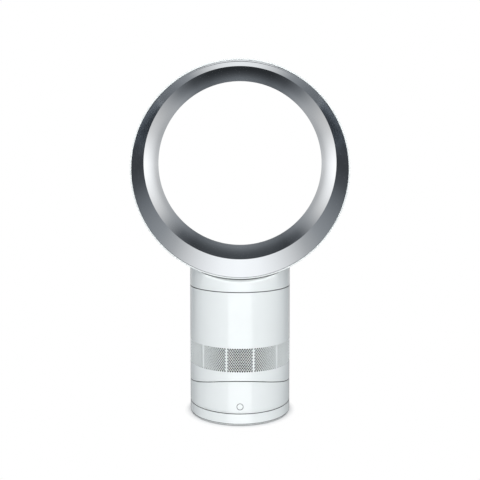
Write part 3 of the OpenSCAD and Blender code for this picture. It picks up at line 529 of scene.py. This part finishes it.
def finish_for(slot):
    """The finish of a material slot, made the first time that it is asked for."""
    colours = bpy.context.scene.fan_colours
    makers = {
        "white_shell": (gloss_white, colours.white),
        # Painted shade: a dull near-black finish for shell insides, seam roundings and gaps, which are white
        # plastic lying in shade
        "painted_shade_inside": (moulded, "Dark inside", (0.012, 0.013, 0.014), 0.15, 0.6, 0.8),
        "silver_wall": (satin_silver, colours.silver),
        "rubber": (moulded, "Dark rubber", colours.rubber, 0.12, 0.55, 0.75, 1400, 0.06 * MM),
        "steel": (drawn_metal, "Plated steel", (0.62, 0.62, 0.63), 0.22, 0.38),
        "grey_plastic": (moulded, "Grey plastic", (0.19, 0.2, 0.21), 0.08, 0.38, 0.55),
        "ivory_plastic": (moulded, "Ivory plastic", (0.72, 0.69, 0.6), 0.05, 0.34, 0.5),
        "black_plastic": (moulded, "Black plastic", (0.012, 0.012, 0.013), 0.2, 0.32, 0.5),
        "dark_plastic": (moulded, "Dark plastic", (0.05, 0.052, 0.057), 0.12, 0.45, 0.65),
        "circuit_board": (board_green, "Circuit board", (0.02, 0.09, 0.035), (0.3, 0.2, 0.08)),
        "motor_metal": (drawn_metal, "Motor laminations", (0.4, 0.4, 0.42), 0.3, 0.5, (1, 1, 60)),
        "copper": (wound_copper, "Copper wire", (0.75, 0.3, 0.14)),
        "magnet": (moulded, "Sintered magnet", (0.06, 0.06, 0.065), 0.15, 0.4, 0.6, 1800, 0.04 * MM, 0.6),
        "dark_foam": (foam, "Dark foam", (0.03, 0.03, 0.032)),
    }
    if slot not in FINISHES:
        maker, *values = makers[slot]
        FINISHES[slot] = maker(*values)
    return FINISHES[slot]


# Pieces

class FAN_OT_main_casing(bpy.types.Operator):
    """Main casing with its band of inlet holes"""

    bl_idname = "fan.main_casing"
    bl_label = "Main casing"

    def execute(self, context):
        sizes = context.scene.fan_sizes
        outer, inner, edge = sizes.body_radius, sizes.body_radius - sizes.wall, sizes.edge
        skin = Skin()
        grille = InletBand(skin, sizes)
        (low, low_outside), (high, high_outside) = grille.make(outer)
        (_, low_inside), (_, high_inside) = grille.make(outer - sizes.inlet_wall)
        grille.line_holes()

        def add_wall(outside, heights, end, inside):
            """Joins the band's plain rings by way of the wall's outside, its end and its inside."""
            path = [(outer, z) for z in heights] + end + [(inner, z) for z in reversed(heights)]
            rings = [skin.ring(upright_ring(r, z, grille.column_angles)) for r, z in path]
            skin.join_all([outside, *rings, inside])

        # The upper wall, with its rounded top edge
        top = node_size("main_casing", 2, 1)
        heights = (high + 3 * MM, 125 * MM, 150 * MM, 172 * MM)
        add_wall(high_outside, heights, wall_end(outer, inner, top, -4 * MM, edge, 0), high_inside)

        # The lower wall, with its wavy lower edge
        above_arc = tilt_edge(sizes, sizes.tilt_upper, 3 * MM)
        heights = [towards(above_arc, low, s) for s in (0.8, 0.6, 0.4, 0.2)]
        end = [(r, tilt_edge(sizes, sizes.tilt_upper, lift))
               for r, lift in wall_end(outer, inner, 0, 3 * MM, edge, 0)]
        add_wall(low_outside, heights, end, low_inside)

        casing = skin.object("main_casing_shell")
        in_wall, in_seam = wall_and_seam(sizes)
        in_band = within(outer - sizes.inlet_wall * 0.9)
        half_band = sizes.inlet_row * sizes.inlet_rows / 2

        # Painted shade: the inner skin behind the holes, the wall's inside and the rounding of the top seam
        # get the dark finish, so the holes and the seam look dark.
        def in_painted_shade(p):
            if abs(p.z - sizes.inlet_middle) < half_band:
                return in_band(p)
            return in_wall(p) or (in_seam(p) and p.z > top - 1 * MM)

        paint_shade_inside(casing, in_painted_shade)
        place(casing, "main_body", "white_shell", "main_casing")
        return {"FINISHED"}


class InletBand:
    """The band of staggered holes: each hole sits in a six-sided cell shared with its neighbours."""

    def __init__(self, skin, sizes):
        self.skin = skin
        self.sizes = sizes
        self.half = sizes.inlet_pitch * sizes.body_radius / 2
        row = sizes.inlet_row
        self.peak = (self.half ** 2 + row ** 2) / (2 * row)
        self.shoulder = self.peak - self.half ** 2 / row
        self.rims = []
        self.column_angles = []

    def make(self, radius):
        """Makes one side of the wall, and returns the height and points of the rings below and above."""
        sizes, skin = self.sizes, self.skin
        blocks, rows, most = sizes.inlet_blocks, sizes.inlet_rows, sizes.inlet_columns
        step = TURN / blocks
        half, row = self.half, sizes.inlet_row
        scale = 1 / sizes.body_radius
        lowest = sizes.inlet_middle - row * (rows - 1) / 2

        def spot(block, across, up):
            angle = block * step + across * scale
            return (radius * sin(angle), -radius * cos(angle), lowest + up)

        def corner(block, across, up):
            """A point of the cells, which neighbours share, told by quarter cells and micrometres."""
            key = (radius, block, round(across / half * 4), round(up / MM * 1000))
            return skin.point(spot(block, across, up), key)

        def holes_in(r):
            """Every second row has one hole less."""
            return most - r % 2

        hole = sizes.inlet_hole / 2
        edge = [(hole * cos(angle), hole * sin(angle)) for angle in even_angles(HOLE_SIDES)]
        rims = []
        for block in range(blocks):
            for r in range(rows):
                for c in range(holes_in(r)):
                    across = (2 * c - (holes_in(r) - 1)) * half
                    up = r * row
                    rim = [skin.point(spot(block, across + x, up + z)) for x, z in edge]
                    cell = [corner(block, across + x, up + z) for x, z in self.cell_points()]
                    skin.join(rim, cell)
                    rims.append(rim)
        self.rims.append(rims)

        # The zigzag at each side of a block, from bottom to top
        def side(block, sign):
            line = []
            for r in range(rows):
                reach = holes_in(r) * half * sign
                for z in (-self.shoulder, 0, self.shoulder):
                    line.append(corner(block, reach, r * row + z))
                if r < rows - 1:
                    line.append(corner(block, (most - 0.5) * half * sign, (r + 0.5) * row))
            return line

        for block in range(blocks):
            skin.join(side(block, 1), side((block + 1) % blocks, -1), around=False)

        # The zigzag along the bottom and the top, and the plain rings beyond them
        rises = ((-0.5, row / 2), (0, self.peak), (0.5, row / 2), (1, self.shoulder))

        def along(base, sign):
            line = []
            for block in range(blocks):
                line.append((block, -most * half, base + sign * self.shoulder))
                for c in range(most):
                    across = (2 * c - (most - 1)) * half
                    line += [(block, across + x * half, base + sign * rise) for x, rise in rises]
            return line

        ends = []
        for base, sign in ((0, -1), ((rows - 1) * row, 1)):
            line = along(base, sign)
            zigzag = [corner(*item) for item in line]
            height = lowest + base + sign * (self.peak + 0.6 * MM)
            self.column_angles = [block * step + across * scale for block, across, _ in line]
            plain = skin.ring(upright_ring(radius, height, self.column_angles))
            skin.join(zigzag, plain)
            ends.append((height, plain))
        return ends

    def cell_points(self):
        """The cell's corners and the middles of its sides, counterclockwise from the right."""
        half, peak, shoulder = self.half, self.peak, self.shoulder
        quarter = [(half, 0), (half, shoulder), (half / 2, self.sizes.inlet_row / 2), (0, peak)]
        upper = quarter + [(-x, z) for x, z in reversed(quarter[:-1])]
        lower = [(-x, -z) for x, z in upper[1:-1]]
        return upper + lower

    def line_holes(self):
        """The walls inside the holes."""
        for outside, inside in zip(*self.rims):
            self.skin.join(outside, inside)


class FAN_OT_lower_shell(bpy.types.Operator):
    """Lower shell with its wavy upper edge and the button's hole"""

    bl_idname = "fan.lower_shell"
    bl_label = "Lower shell"

    def execute(self, context):
        sizes = context.scene.fan_sizes
        outer, inner, edge = sizes.body_radius, sizes.body_radius - sizes.wall, sizes.edge
        foot = sizes.seam_top
        button = sizes.button_radius + sizes.button_gap
        hole = Hole(middle=0, half_columns=5, reach=8 * MM, radius=button, height=sizes.button_height)
        below_arc = tilt_edge(sizes, sizes.tilt_lower, -3 * MM)
        shares = (0.7, 0.4, 0.1)
        rings = [upright_ring(*p) for p in wall_end(outer, inner, foot, 2 * MM, edge, edge)[:-1]]
        inner_start = len(rings)
        rings += [upright_ring(inner, z) for z in hole.patch]
        rings += [upright_ring(inner, towards(below_arc, hole.patch[-1], s)) for s in shares]
        rings += [upright_ring(p.x, tilt_edge(sizes, sizes.tilt_lower, p.y))
                  for p in wall_end(inner, outer, 0, -3 * MM, edge, edge)[1:-1]]
        rings += [upright_ring(outer, towards(below_arc, hole.patch[-1], s)) for s in reversed(shares)]
        outer_start = len(rings)
        rings += [upright_ring(outer, z) for z in reversed(hole.patch)]

        skin = Skin()
        skin.pierced_loft(rings, hole, outer_start, outer, inner_start, inner)
        shell = skin.object("lower_shell_skin")
        in_wall, in_seam = wall_and_seam(sizes)
        # Painted shade: the shell's inside and the rounding of its foot seam get the dark finish.
        paint_shade_inside(shell, lambda p: in_wall(p) or (in_seam(p) and p.z < foot + 1 * MM))
        place(shell, "lower_body", "white_shell", "lower_shell")
        return {"FINISHED"}


class FAN_OT_foot(bpy.types.Operator):
    """Base shell with its rounded foot, and the cord gland at its back"""

    bl_idname = "fan.foot"
    bl_label = "Foot"

    def execute(self, context):
        sizes = context.scene.fan_sizes
        outer, inner, edge = sizes.body_radius, sizes.body_radius - sizes.wall, sizes.edge
        bottom = node_size("base_shell", 2, 0)
        top = node_size("base_shell", 2, 1) - 0.2 * MM
        floor = bottom + sizes.wall
        groove_out, groove_in, groove_top = 64.55 * MM, 56.45 * MM, 2.45 * MM
        centre, gland_height = 1 * MM, 10 * MM
        hole = Hole(middle=COLUMNS // 2, half_columns=4, reach=5.8 * MM, radius=5.4 * MM,
                    height=gland_height, side=1)
        rings = [upright_ring(r, floor) for r in (centre, 40 * MM, inner)]
        inner_start = len(rings)
        rings += [upright_ring(inner, z) for z in hole.patch]
        rings += [upright_ring(*p) for p in wall_end(inner, outer, top, -1 * MM, edge, edge)[1:-1]]
        outer_start = len(rings)
        rings += [upright_ring(outer, z) for z in reversed(hole.patch)]
        lower_edge = fillet([(outer, hole.patch[0]), (outer, bottom), (groove_out, bottom)], [0, 2.5 * MM, 0])
        rings += [upright_ring(*p) for p in lower_edge[1:]]
        rings += [upright_ring(r, groove_top) for r in (groove_out, groove_in)]
        rings += [upright_ring(r, bottom) for r in (groove_in, 30 * MM, centre)]
        skin = Skin()
        skin.pierced_loft(rings, hole, outer_start, outer, inner_start, inner)
        foot = skin.object("base_shell_skin")
        _, in_seam = wall_and_seam(sizes)
        # Painted shade: the shell's inside above its floor and the rounding of its upper seam get the dark
        # finish.
        paint_shade_inside(foot, lambda p: in_seam(p) and p.z > floor - 0.5 * MM)
        place(foot, "base", "white_shell", "base_shell")

        start, end = node_size("cord_gland", 1, 0), node_size("cord_gland", 1, 1)
        bore, collar, shank, flange = 3.3 * MM, 5.3 * MM, 4.6 * MM, 5 * MM
        outline = fillet(
            [(bore, start), (bore, end), (collar, end), (collar, end - 1.6 * MM), (shank, end - 2.4 * MM),
             (shank, inner - 0.6 * MM), (flange, inner - 1.2 * MM), (flange, start)],
            [r * MM for r in (0, 0.5, 0.7, 0.3, 0.3, 0.2, 0.3, 0)])
        skin = Skin()
        skin.loft([facing_ring(*p, gland_height, SMALL_COLUMNS) for p in outline])
        place(skin.object("cord_gland_grommet"), "base", "rubber", "cord_gland")
        return {"FINISHED"}


class FAN_OT_power_button(bpy.types.Operator):
    """Power button with a dished cap"""

    bl_idname = "fan.power_button"
    bl_label = "Power button"

    def execute(self, context):
        sizes = context.scene.fan_sizes
        radius = sizes.button_radius - 0.4 * MM
        front = -sqrt(sizes.body_radius ** 2 - radius ** 2)
        flange, back = node_size("power_button", 0, 1), node_size("power_button", 1, 1)
        flange_front, flange_back = -67.5 * MM, -66.3 * MM
        centre, dish, stem = 0.4 * MM, radius * 0.55, 1.5 * MM
        outline = fillet(
            [(centre, front + 0.22 * MM), (dish, front + 0.14 * MM), (radius, front - 0.02 * MM),
             (radius, flange_front), (flange, flange_front), (flange, flange_back), (stem, flange_back),
             (stem, back), (centre, back)],
            [r * MM for r in (0, 2, 0.4, 0.2, 0.2, 0.2, 0.2, 0.2, 0)])
        skin = Skin()
        rings = [facing_ring(*p, sizes.button_height, SMALL_COLUMNS) for p in outline]
        numbers = skin.loft(rings, closed=False)
        skin.faces += [tuple(numbers[0]), tuple(numbers[-1])]
        button = skin.object("power_button_cap")
        # Painted shade: all but the cap's front gets the dark finish, so the gap round the button looks dark.
        paint_shade_inside(button, lambda p: p.y > front + 0.4 * MM)
        place(button, "button", "white_shell", "power_button")
        return {"FINISHED"}


class FAN_OT_nozzle_casing(bpy.types.Operator):
    """White ring casing with its rear lip, and the neck under it"""

    bl_idname = "fan.nozzle_casing"
    bl_label = "Nozzle casing"

    def execute(self, context):
        sizes, ring = context.scene.fan_sizes, context.scene.fan_ring
        outer, wall, rear, lip = ring.outer_radius, ring.wall, ring.rear_edge, ring.lip_edge
        rim, throat = outer - ring.rim_width, ring.throat_radius
        front = node_size("nozzle_inner_wall", 1, 0) + 1 * MM
        back = node_size("nozzle_inner_wall", 1, 1) + 7 * MM
        about_outer, about_opening = ring.outer_height, ring.opening_height

        def rows(points, height):
            return [facing_ring(r, y, height) for r, y in points]

        # The ring: its rim in front, its outside, its rounded rear and the lip that turns in to the slot
        bend, bend_y = throat + lip, back - lip + 2 * MM
        bend_radius = lip - 2 * MM
        tip = (bend - bend_radius + wall / 2, bend_y - 0.2 * MM)
        shell = rows(fillet([(rim, front + 8 * MM), (rim, front), (outer, front), (outer, front + 8 * MM)],
                            [0, 0.1 * MM, 0.4 * MM, 0]), about_outer)
        shell += rows([(outer, y) for y in (-20 * MM, 10 * MM, back - rear - 1 * MM)], about_outer)
        shell += rows(arc((outer - rear, back - rear), rear, 0, 90, 12), about_outer)
        shell += rows([(outer - rear - 0.6 * MM, back)], about_outer)
        shell += rows([(bend + 0.6 * MM, back)], about_opening)
        shell += rows(arc((bend, bend_y), bend_radius, 90, 180, 12), about_opening)
        shell += rows(arc(tip, wall / 2, 180, 360, 6), about_opening)
        shell += rows(arc((bend, bend_y), bend_radius - wall, 180, 90, 8), about_opening)
        shell += rows(arc((outer - rear, back - rear), rear - wall, 90, 0, 8), about_outer)
        skin = Skin()
        skin.loft(shell)

        # The neck: its wall rises to the ring, and its shoulder follows the ring in front and behind
        radius, bottom = sizes.body_radius, node_size("nozzle_casing", 2, 0) + 0.3 * MM
        inner, edge = radius - sizes.wall, sizes.edge
        saddle, gap, rounding = ring.saddle_half, ring.shoulder_gap, 3 * MM
        shoulder_blend, overlap = 6 * MM, 0.5 * MM

        def under(x, r):
            """Height of the underside of a cylinder about the ring's axis."""
            return about_outer - sqrt(r ** 2 - x ** 2)

        def neck_ring(wall_radius, drop, inset=0.0, reach=0.0):
            """The wall's upper line, lowered by drop; reach moves shoulder points towards the saddle."""
            points = []
            for angle in even_angles(COLUMNS):
                beyond_saddle = wall_radius * abs(cos(angle)) - saddle
                on_shoulder = min(1, max(0, beyond_saddle / shoulder_blend))
                own_radius = wall_radius - inset * on_shoulder
                x, y = own_radius * sin(angle), -own_radius * cos(angle)
                if on_shoulder > 0:
                    y += (copysign(saddle, y) - y) * reach
                    z = under(x, outer + gap) - drop
                else:
                    z = under(x, outer) - drop + (0.8 * MM if drop <= 0 else 0)
                points.append((x, y, z))
            return points

        rings = [upright_ring(*p) for p in wall_end(inner, radius, bottom, 2 * MM, edge, edge)]
        base, top_line = rings[-1], neck_ring(radius, 2 * rounding)
        for share in (0.35, 0.7):
            rings.append([tuple(Vector(a).lerp(Vector(b), share)) for a, b in zip(base, top_line)])
        rings.append(top_line)
        rings += [neck_ring(radius, rounding - p.y, rounding - p.x)
                  for p in arc((0, 0), rounding, 0, 90, 2 * FILLET_STEPS)]
        rings += [neck_ring(radius, 0, rounding, reach) for reach in (0.1, 0.5, 0.75, 1.0)]
        deck = [(x, y, z + overlap + (gap if abs(y) > saddle - edge else 0)) for x, y, z in rings[-1]]
        shrink = 0.9
        middle = [(x * shrink, y * shrink, z) for x, y, z in deck]
        rings += [deck, [(x, y, z - 0.3 * MM) for x, y, z in middle]]
        rings.append([(x, y, min(z, under(x, outer + gap)) - sizes.wall) for x, y, z in middle])
        rings.append([(x, y, z - sizes.wall - 2 * MM) for x, y, z in neck_ring(inner, 0)])
        skin.loft(rings)
        casing = skin.object("nozzle_casing_shell")

        # Faces in the front gap between the ring and the neck's shoulder, which get a painted shadow.
        def in_gap(p):
            above_deck = p.z - under(p.x, outer + gap)
            return saddle - edge < -p.y < -front - 1 * MM and -edge < above_deck < 0.8 * gap

        def on_lip(p):
            return p.y > back - lip and hypot(p.x, p.z - about_opening) < throat + lip * 0.6

        _, in_seam = wall_and_seam(sizes)
        # Painted shade: the neck's inside near its lower seam, the rounding of that seam and the faces in the
        # gap under the ring get the dark finish, as a painted shadow.
        paint_shade_inside(casing, lambda p: in_seam(p) and (p.z < bottom + 3 * MM or in_gap(p)))
        paint(casing, "silver_wall", on_lip)
        place(casing, "nozzle", "white_shell", "nozzle_casing")
        return {"FINISHED"}


class FAN_OT_silver_wall(bpy.types.Operator):
    """Silver face and guide wall inside the ring"""

    bl_idname = "fan.silver_wall"
    bl_label = "Silver wall"

    def execute(self, context):
        ring = context.scene.fan_ring
        wall, face, crease = ring.wall, ring.face_radius, ring.crease_radius
        about_outer, about_opening = ring.outer_height, ring.opening_height
        front, end = node_size("nozzle_inner_wall", 1, 0), node_size("nozzle_inner_wall", 1, 1)
        crease_y, throat_y = -40 * MM, 36 * MM
        land, skirt = 0.45 * MM, front + 10 * MM
        guide_end, first_drop = 124.75 * MM, 2.28 * MM

        def guide_at(share):
            """The guide wall closes in slowly at first, and faster towards the slot."""
            radius = crease - first_drop * share - (crease - guide_end - first_drop) * share ** 2.5
            return radius, crease_y + (throat_y - crease_y) * share

        def height(y):
            """The axis rises from the ring's to the opening's between the face and the crease."""
            share = min(1, max(0, (y - front) / (crease_y - front)))
            return about_outer + (about_opening - about_outer) * share

        *face_path, last, crease_edge = fillet(
            [(face, skirt), (face, front), (face - land, front), (crease, crease_y)],
            [0, 0.08 * MM, 0.12 * MM, 0])
        rows = [(r, y, about_outer) for r, y in face_path]
        for share in (0.0, 0.12, 0.3, 0.5, 0.7, 0.88, 0.97):
            p = last.lerp(crease_edge, share)
            rows.append((p.x, p.y, height(p.y)))
        guide = [guide_at(share) for share in (
            0, 0.015, 0.1, 0.2, 0.3, 0.4, 0.5, 0.6, 0.7, 0.78, 0.85, 0.91, 0.96, 1.01, 1.06, 1.1)]
        last_r, last_y = guide[-1]
        guide += [(last_r + 0.1 * MM, last_y + 0.4 * MM), (last_r + wall / 2, end)]
        guide += [(r + wall, y) for r, y in guide[-3:1:-2]]
        rows += [(r, y, about_opening) for r, y in guide]
        rows += [(face - wall, y, about_outer) for y in (front + wall + 1 * MM, skirt)]
        skin = Skin()
        skin.loft([facing_ring(r, y, z) for r, y, z in rows])
        made = skin.object("silver_guide_wall", sharp_degrees=25)
        place(made, "nozzle", "silver_wall", "nozzle_inner_wall")
        return {"FINISHED"}


class FAN_OT_carried_parts(bpy.types.Operator):
    """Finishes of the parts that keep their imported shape"""

    bl_idname = "fan.carried_parts"
    bl_label = "Carried parts"

    def execute(self, context):
        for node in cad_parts.values():
            materials = node.data.materials
            # A packed material is named after its slot in the record
            finish = finish_for(materials[0].name.split(".")[0])
            for i in range(len(materials)):
                materials[i] = finish
        return {"FINISHED"}


# Studio

class FAN_OT_stage(bpy.types.Operator):
    """Camera, softboxes, soft surroundings and floor"""

    bl_idname = "fan.stage"
    bl_label = "Stage"

    def execute(self, context):
        scene, light = context.scene, context.scene.fan_light
        camera = bpy.data.cameras.new("Camera")
        camera.lens = 52.73
        camera.sensor_width = 36
        camera.shift_y = -0.0583
        camera.clip_start = 0.01
        holder = bpy.data.objects.new("Camera", camera)
        holder.location = (0, -1.0168, 0.3607)
        looks_down = 0.0689
        holder.rotation_euler = (radians(90) - looks_down, 0, 0)
        scene.collection.objects.link(holder)
        scene.camera = holder
        scene.view_settings.view_transform = "Standard"

        front = add_panel("Front softbox", light.softbox, (2.44, 2.6), (0, -2.5, 1.3), 90)
        overhead = add_panel("Overhead softbox", light.overhead, (1.6, 1.6), (0, -1.2, 3))
        rear = add_panel("Rear softbox", light.rear, (1.2, 1.6), (0, 3.4, 0.8), 90, 180)
        reflector = add_panel("Low reflector", light.reflector, (2.44, 2), (0, -2.5, -1), 90)
        for lamp in (front, overhead, rear):
            lamp.visible_glossy = False
        reflector.visible_diffuse = False
        reflector.light_linking.receiver_collection = bpy.data.collections.new("Mirrors the low reflector")
        floor = make_floor()
        apart = bpy.data.collections.new("Kept from the rear softbox")
        apart.objects.link(floor)
        apart.collection_objects[0].light_linking.link_state = "EXCLUDE"
        rear.light_linking.receiver_collection = apart

        make_surroundings(scene, light)
        return {"FINISHED"}


def add_panel(name, brightness, size, position, tilt=0, turn=0):
    """A panel lamp of an even brightness; untilted, it shines down."""
    lamp = bpy.data.lights.new(name, "AREA")
    lamp.shape = "RECTANGLE"
    lamp.size, lamp.size_y = size
    lamp.energy = brightness * pi * size[0] * size[1]
    stand = bpy.data.objects.new(name, lamp)
    stand.location = position
    stand.rotation_euler = (radians(tilt), 0, radians(turn))
    stand.visible_camera = False
    bpy.context.scene.collection.objects.link(stand)
    return stand


# Brightness of the studio as gloss sees it, by the direction's angle above the horizontal in degrees.
# The four tables are for directions behind the fan, aslant, beside it and in front of it.

BEHIND_LEVELS = (
    (-90, 0.026), (-80, 0.026), (-70, 0.03), (-60, 0.06), (-50, 0.17), (-40, 0.38), (-30, 0.545),
    (-20, 0.66), (-7, 1.0), (0, 1.12), (7, 1.1), (20, 0.89), (30, 0.64), (40, 0.34), (50, 0.1),
    (60, 0.047), (70, 0.062), (90, 0.07))
ASLANT_LEVELS = (
    (-90, 0.16), (-80, 0.14), (-70, 0.12), (-60, 0.159), (-50, 0.28), (-40, 0.42), (-30, 0.457),
    (-20, 0.457), (0, 0.635), (20, 0.51), (30, 0.45), (40, 0.34), (50, 0.208), (60, 0.134), (90, 0.196))
BESIDE_LEVELS = (
    (-90, 0.94), (-80, 0.87), (-70, 0.62), (-60, 0.3), (-50, 0.2), (-45, 0.18), (-40, 0.155),
    (-36, 0.08), (-33, 0.035), (-30, 0.045), (-20, 0.062), (0, 0.052), (10, 0.08), (20, 0.165),
    (30, 0.24), (40, 0.307), (50, 0.432), (60, 0.686), (70, 0.909), (80, 1.07), (90, 1.12))
FRONT_LEVELS = (
    (-90, 0.02), (-60, 0.05), (-30, 0.16), (-10, 0.06), (0, 0.045), (30, 0.05), (60, 0.08), (90, 0.12))

HALF_TURN_DEGREES = 180
TINTED_BELOW = 0.5
SHADE_TINT = (-0.1, 0, 0.12)
FILL_TINT = (0.9, 0.965, 1.06)
FLOOR_RADIUS = 4
FLOOR_WHITE = (0.8, 0.8, 0.8, 1)
FLOOR_GLOW_START = 66 * MM
FLOOR_GLOW_END = 83 * MM


def make_surroundings(scene, light):
    """White for the camera, soft fill for dull surfaces, and a studio of bright and dark areas in gloss."""
    world = bpy.data.worlds.new("Studio")
    world.use_nodes = True
    scene.world = world
    world.node_tree.nodes.clear()
    graph = Graph(world.node_tree)

    def ramp(source, stops, start=0):
        """Greys by an angle, its 0 degrees at the start; the darker ones are a little bluer."""
        node = graph.add("ValToRGB", source)
        points = node.color_ramp.elements
        while len(points) < len(stops):
            points.new(0.5)
        for point, (degrees, level) in zip(points, stops):
            point.position = start + degrees / HALF_TURN_DEGREES
            depth = max(0, 1 - level / TINTED_BELOW)
            point.color = (*(level * (1 + tint * depth) for tint in SHADE_TINT), 1)
        return node.outputs["Color"]

    # Directions are told by their turn about the ring's axis, from straight down to straight up,
    # and by their spread away from that axis, from straight behind to straight in front.
    x, y, z = graph.add("SeparateXYZ", graph.add("TexCoord").outputs["Generated"]).outputs
    climb = graph.maths("ARCTAN2", z, graph.maths("ABSOLUTE", x))
    turn = graph.maths("ADD", graph.maths("DIVIDE", climb, pi), 0.5)
    spread = graph.maths("DIVIDE", graph.maths("ARCCOSINE", y), pi)

    def around(levels):
        return ramp(turn, levels, 0.5)

    def share_of(*stops):
        return ramp(spread, stops)

    behind, aslant, beside = around(BEHIND_LEVELS), around(ASLANT_LEVELS), around(BESIDE_LEVELS)
    near_back = graph.blend(share_of((16, 0), (22, 0.18), (28, 0.55), (33, 1)), behind, aslant)
    rear_half = graph.blend(share_of((38, 0), (44, 1)), near_back, beside)
    pattern = graph.blend(share_of((150, 0), (165, 1)), rear_half, around(FRONT_LEVELS))

    path = graph.add("LightPath").outputs
    seen = graph.maths("MAXIMUM", path["Is Camera Ray"], path["Is Transmission Ray"])
    fill = graph.add("Background", (*FILL_TINT, 1), light.fill)
    gloss = graph.add("Background", pattern, 1.0)
    white = graph.add("Background", (1, 1, 1, 1), 1.0)
    lit = graph.add("MixShader", path["Is Glossy Ray"], fill.outputs[0], gloss.outputs[0])
    mixed = graph.add("MixShader", seen, lit.outputs[0], white.outputs[0])
    graph.add("OutputWorld", mixed.outputs[0])


def make_floor():
    """A white floor that keeps the soft contact shadow."""
    skin = Skin()
    centre = skin.point((0, 0, 0))
    rim = skin.ring([(FLOOR_RADIUS * cos(angle), FLOOR_RADIUS * sin(angle), 0)
                     for angle in even_angles(SMALL_COLUMNS)])
    for i, number in enumerate(rim):
        skin.faces.append((centre, number, rim[(i + 1) % len(rim)]))
    floor = skin.object("Floor")
    material = bpy.data.materials.new("White floor")
    material.use_nodes = True
    material.node_tree.nodes.clear()
    graph = Graph(material.node_tree)

    # For the camera, the floor glows white away from the foot and only keeps the shadow close to it
    distance = graph.add("VectorMath", graph.add("NewGeometry").outputs["Position"])
    distance.operation = "LENGTH"
    beyond = graph.add("MapRange", distance.outputs["Value"], FLOOR_GLOW_START, FLOOR_GLOW_END)
    beyond.interpolation_type = "SMOOTHSTEP"
    seen = graph.add("LightPath").outputs["Is Camera Ray"]
    share = graph.maths("MULTIPLY", beyond.outputs["Result"], seen)
    dull = graph.add("BsdfDiffuse", FLOOR_WHITE)
    mixed = graph.add("MixShader", share, dull.outputs[0], graph.add("Emission").outputs[0])
    graph.add("OutputMaterial", mixed.outputs[0])
    floor.data.materials.append(material)
    floor.visible_glossy = False
    return floor


class FAN_PT_pieces(bpy.types.Panel):
    """Lists the pieces and the stage"""

    bl_idname = "FAN_PT_pieces"
    bl_label = "Bladeless fan"
    bl_space_type = "VIEW_3D"
    bl_region_type = "UI"
    bl_category = "Fan"

    def draw(self, context):
        for operator in OPERATORS:
            self.layout.operator(operator.bl_idname)


SETTINGS = {"fan_sizes": FanSizes, "fan_ring": RingSizes, "fan_colours": FanColours, "fan_light": StudioLight}
OPERATORS = (
    FAN_OT_stage, FAN_OT_carried_parts, FAN_OT_foot, FAN_OT_lower_shell, FAN_OT_power_button,
    FAN_OT_main_casing, FAN_OT_nozzle_casing, FAN_OT_silver_wall)
CLASSES = (*SETTINGS.values(), *OPERATORS, FAN_PT_pieces)


def register():
    for kind in CLASSES:
        bpy.utils.register_class(kind)
    for name, group in SETTINGS.items():
        setattr(bpy.types.Scene, name, PointerProperty(type=group))


def unregister():
    for name in SETTINGS:
        delattr(bpy.types.Scene, name)
    for kind in reversed(CLASSES):
        bpy.utils.unregister_class(kind)


def main():
    register()
    for operator in OPERATORS:
        group, name = operator.bl_idname.split(".")
        result = getattr(getattr(bpy.ops, group), name)()
        if result != {"FINISHED"}:
            raise RuntimeError(f"{operator.bl_label} did not finish")


if __name__ == "__main__":
    main()
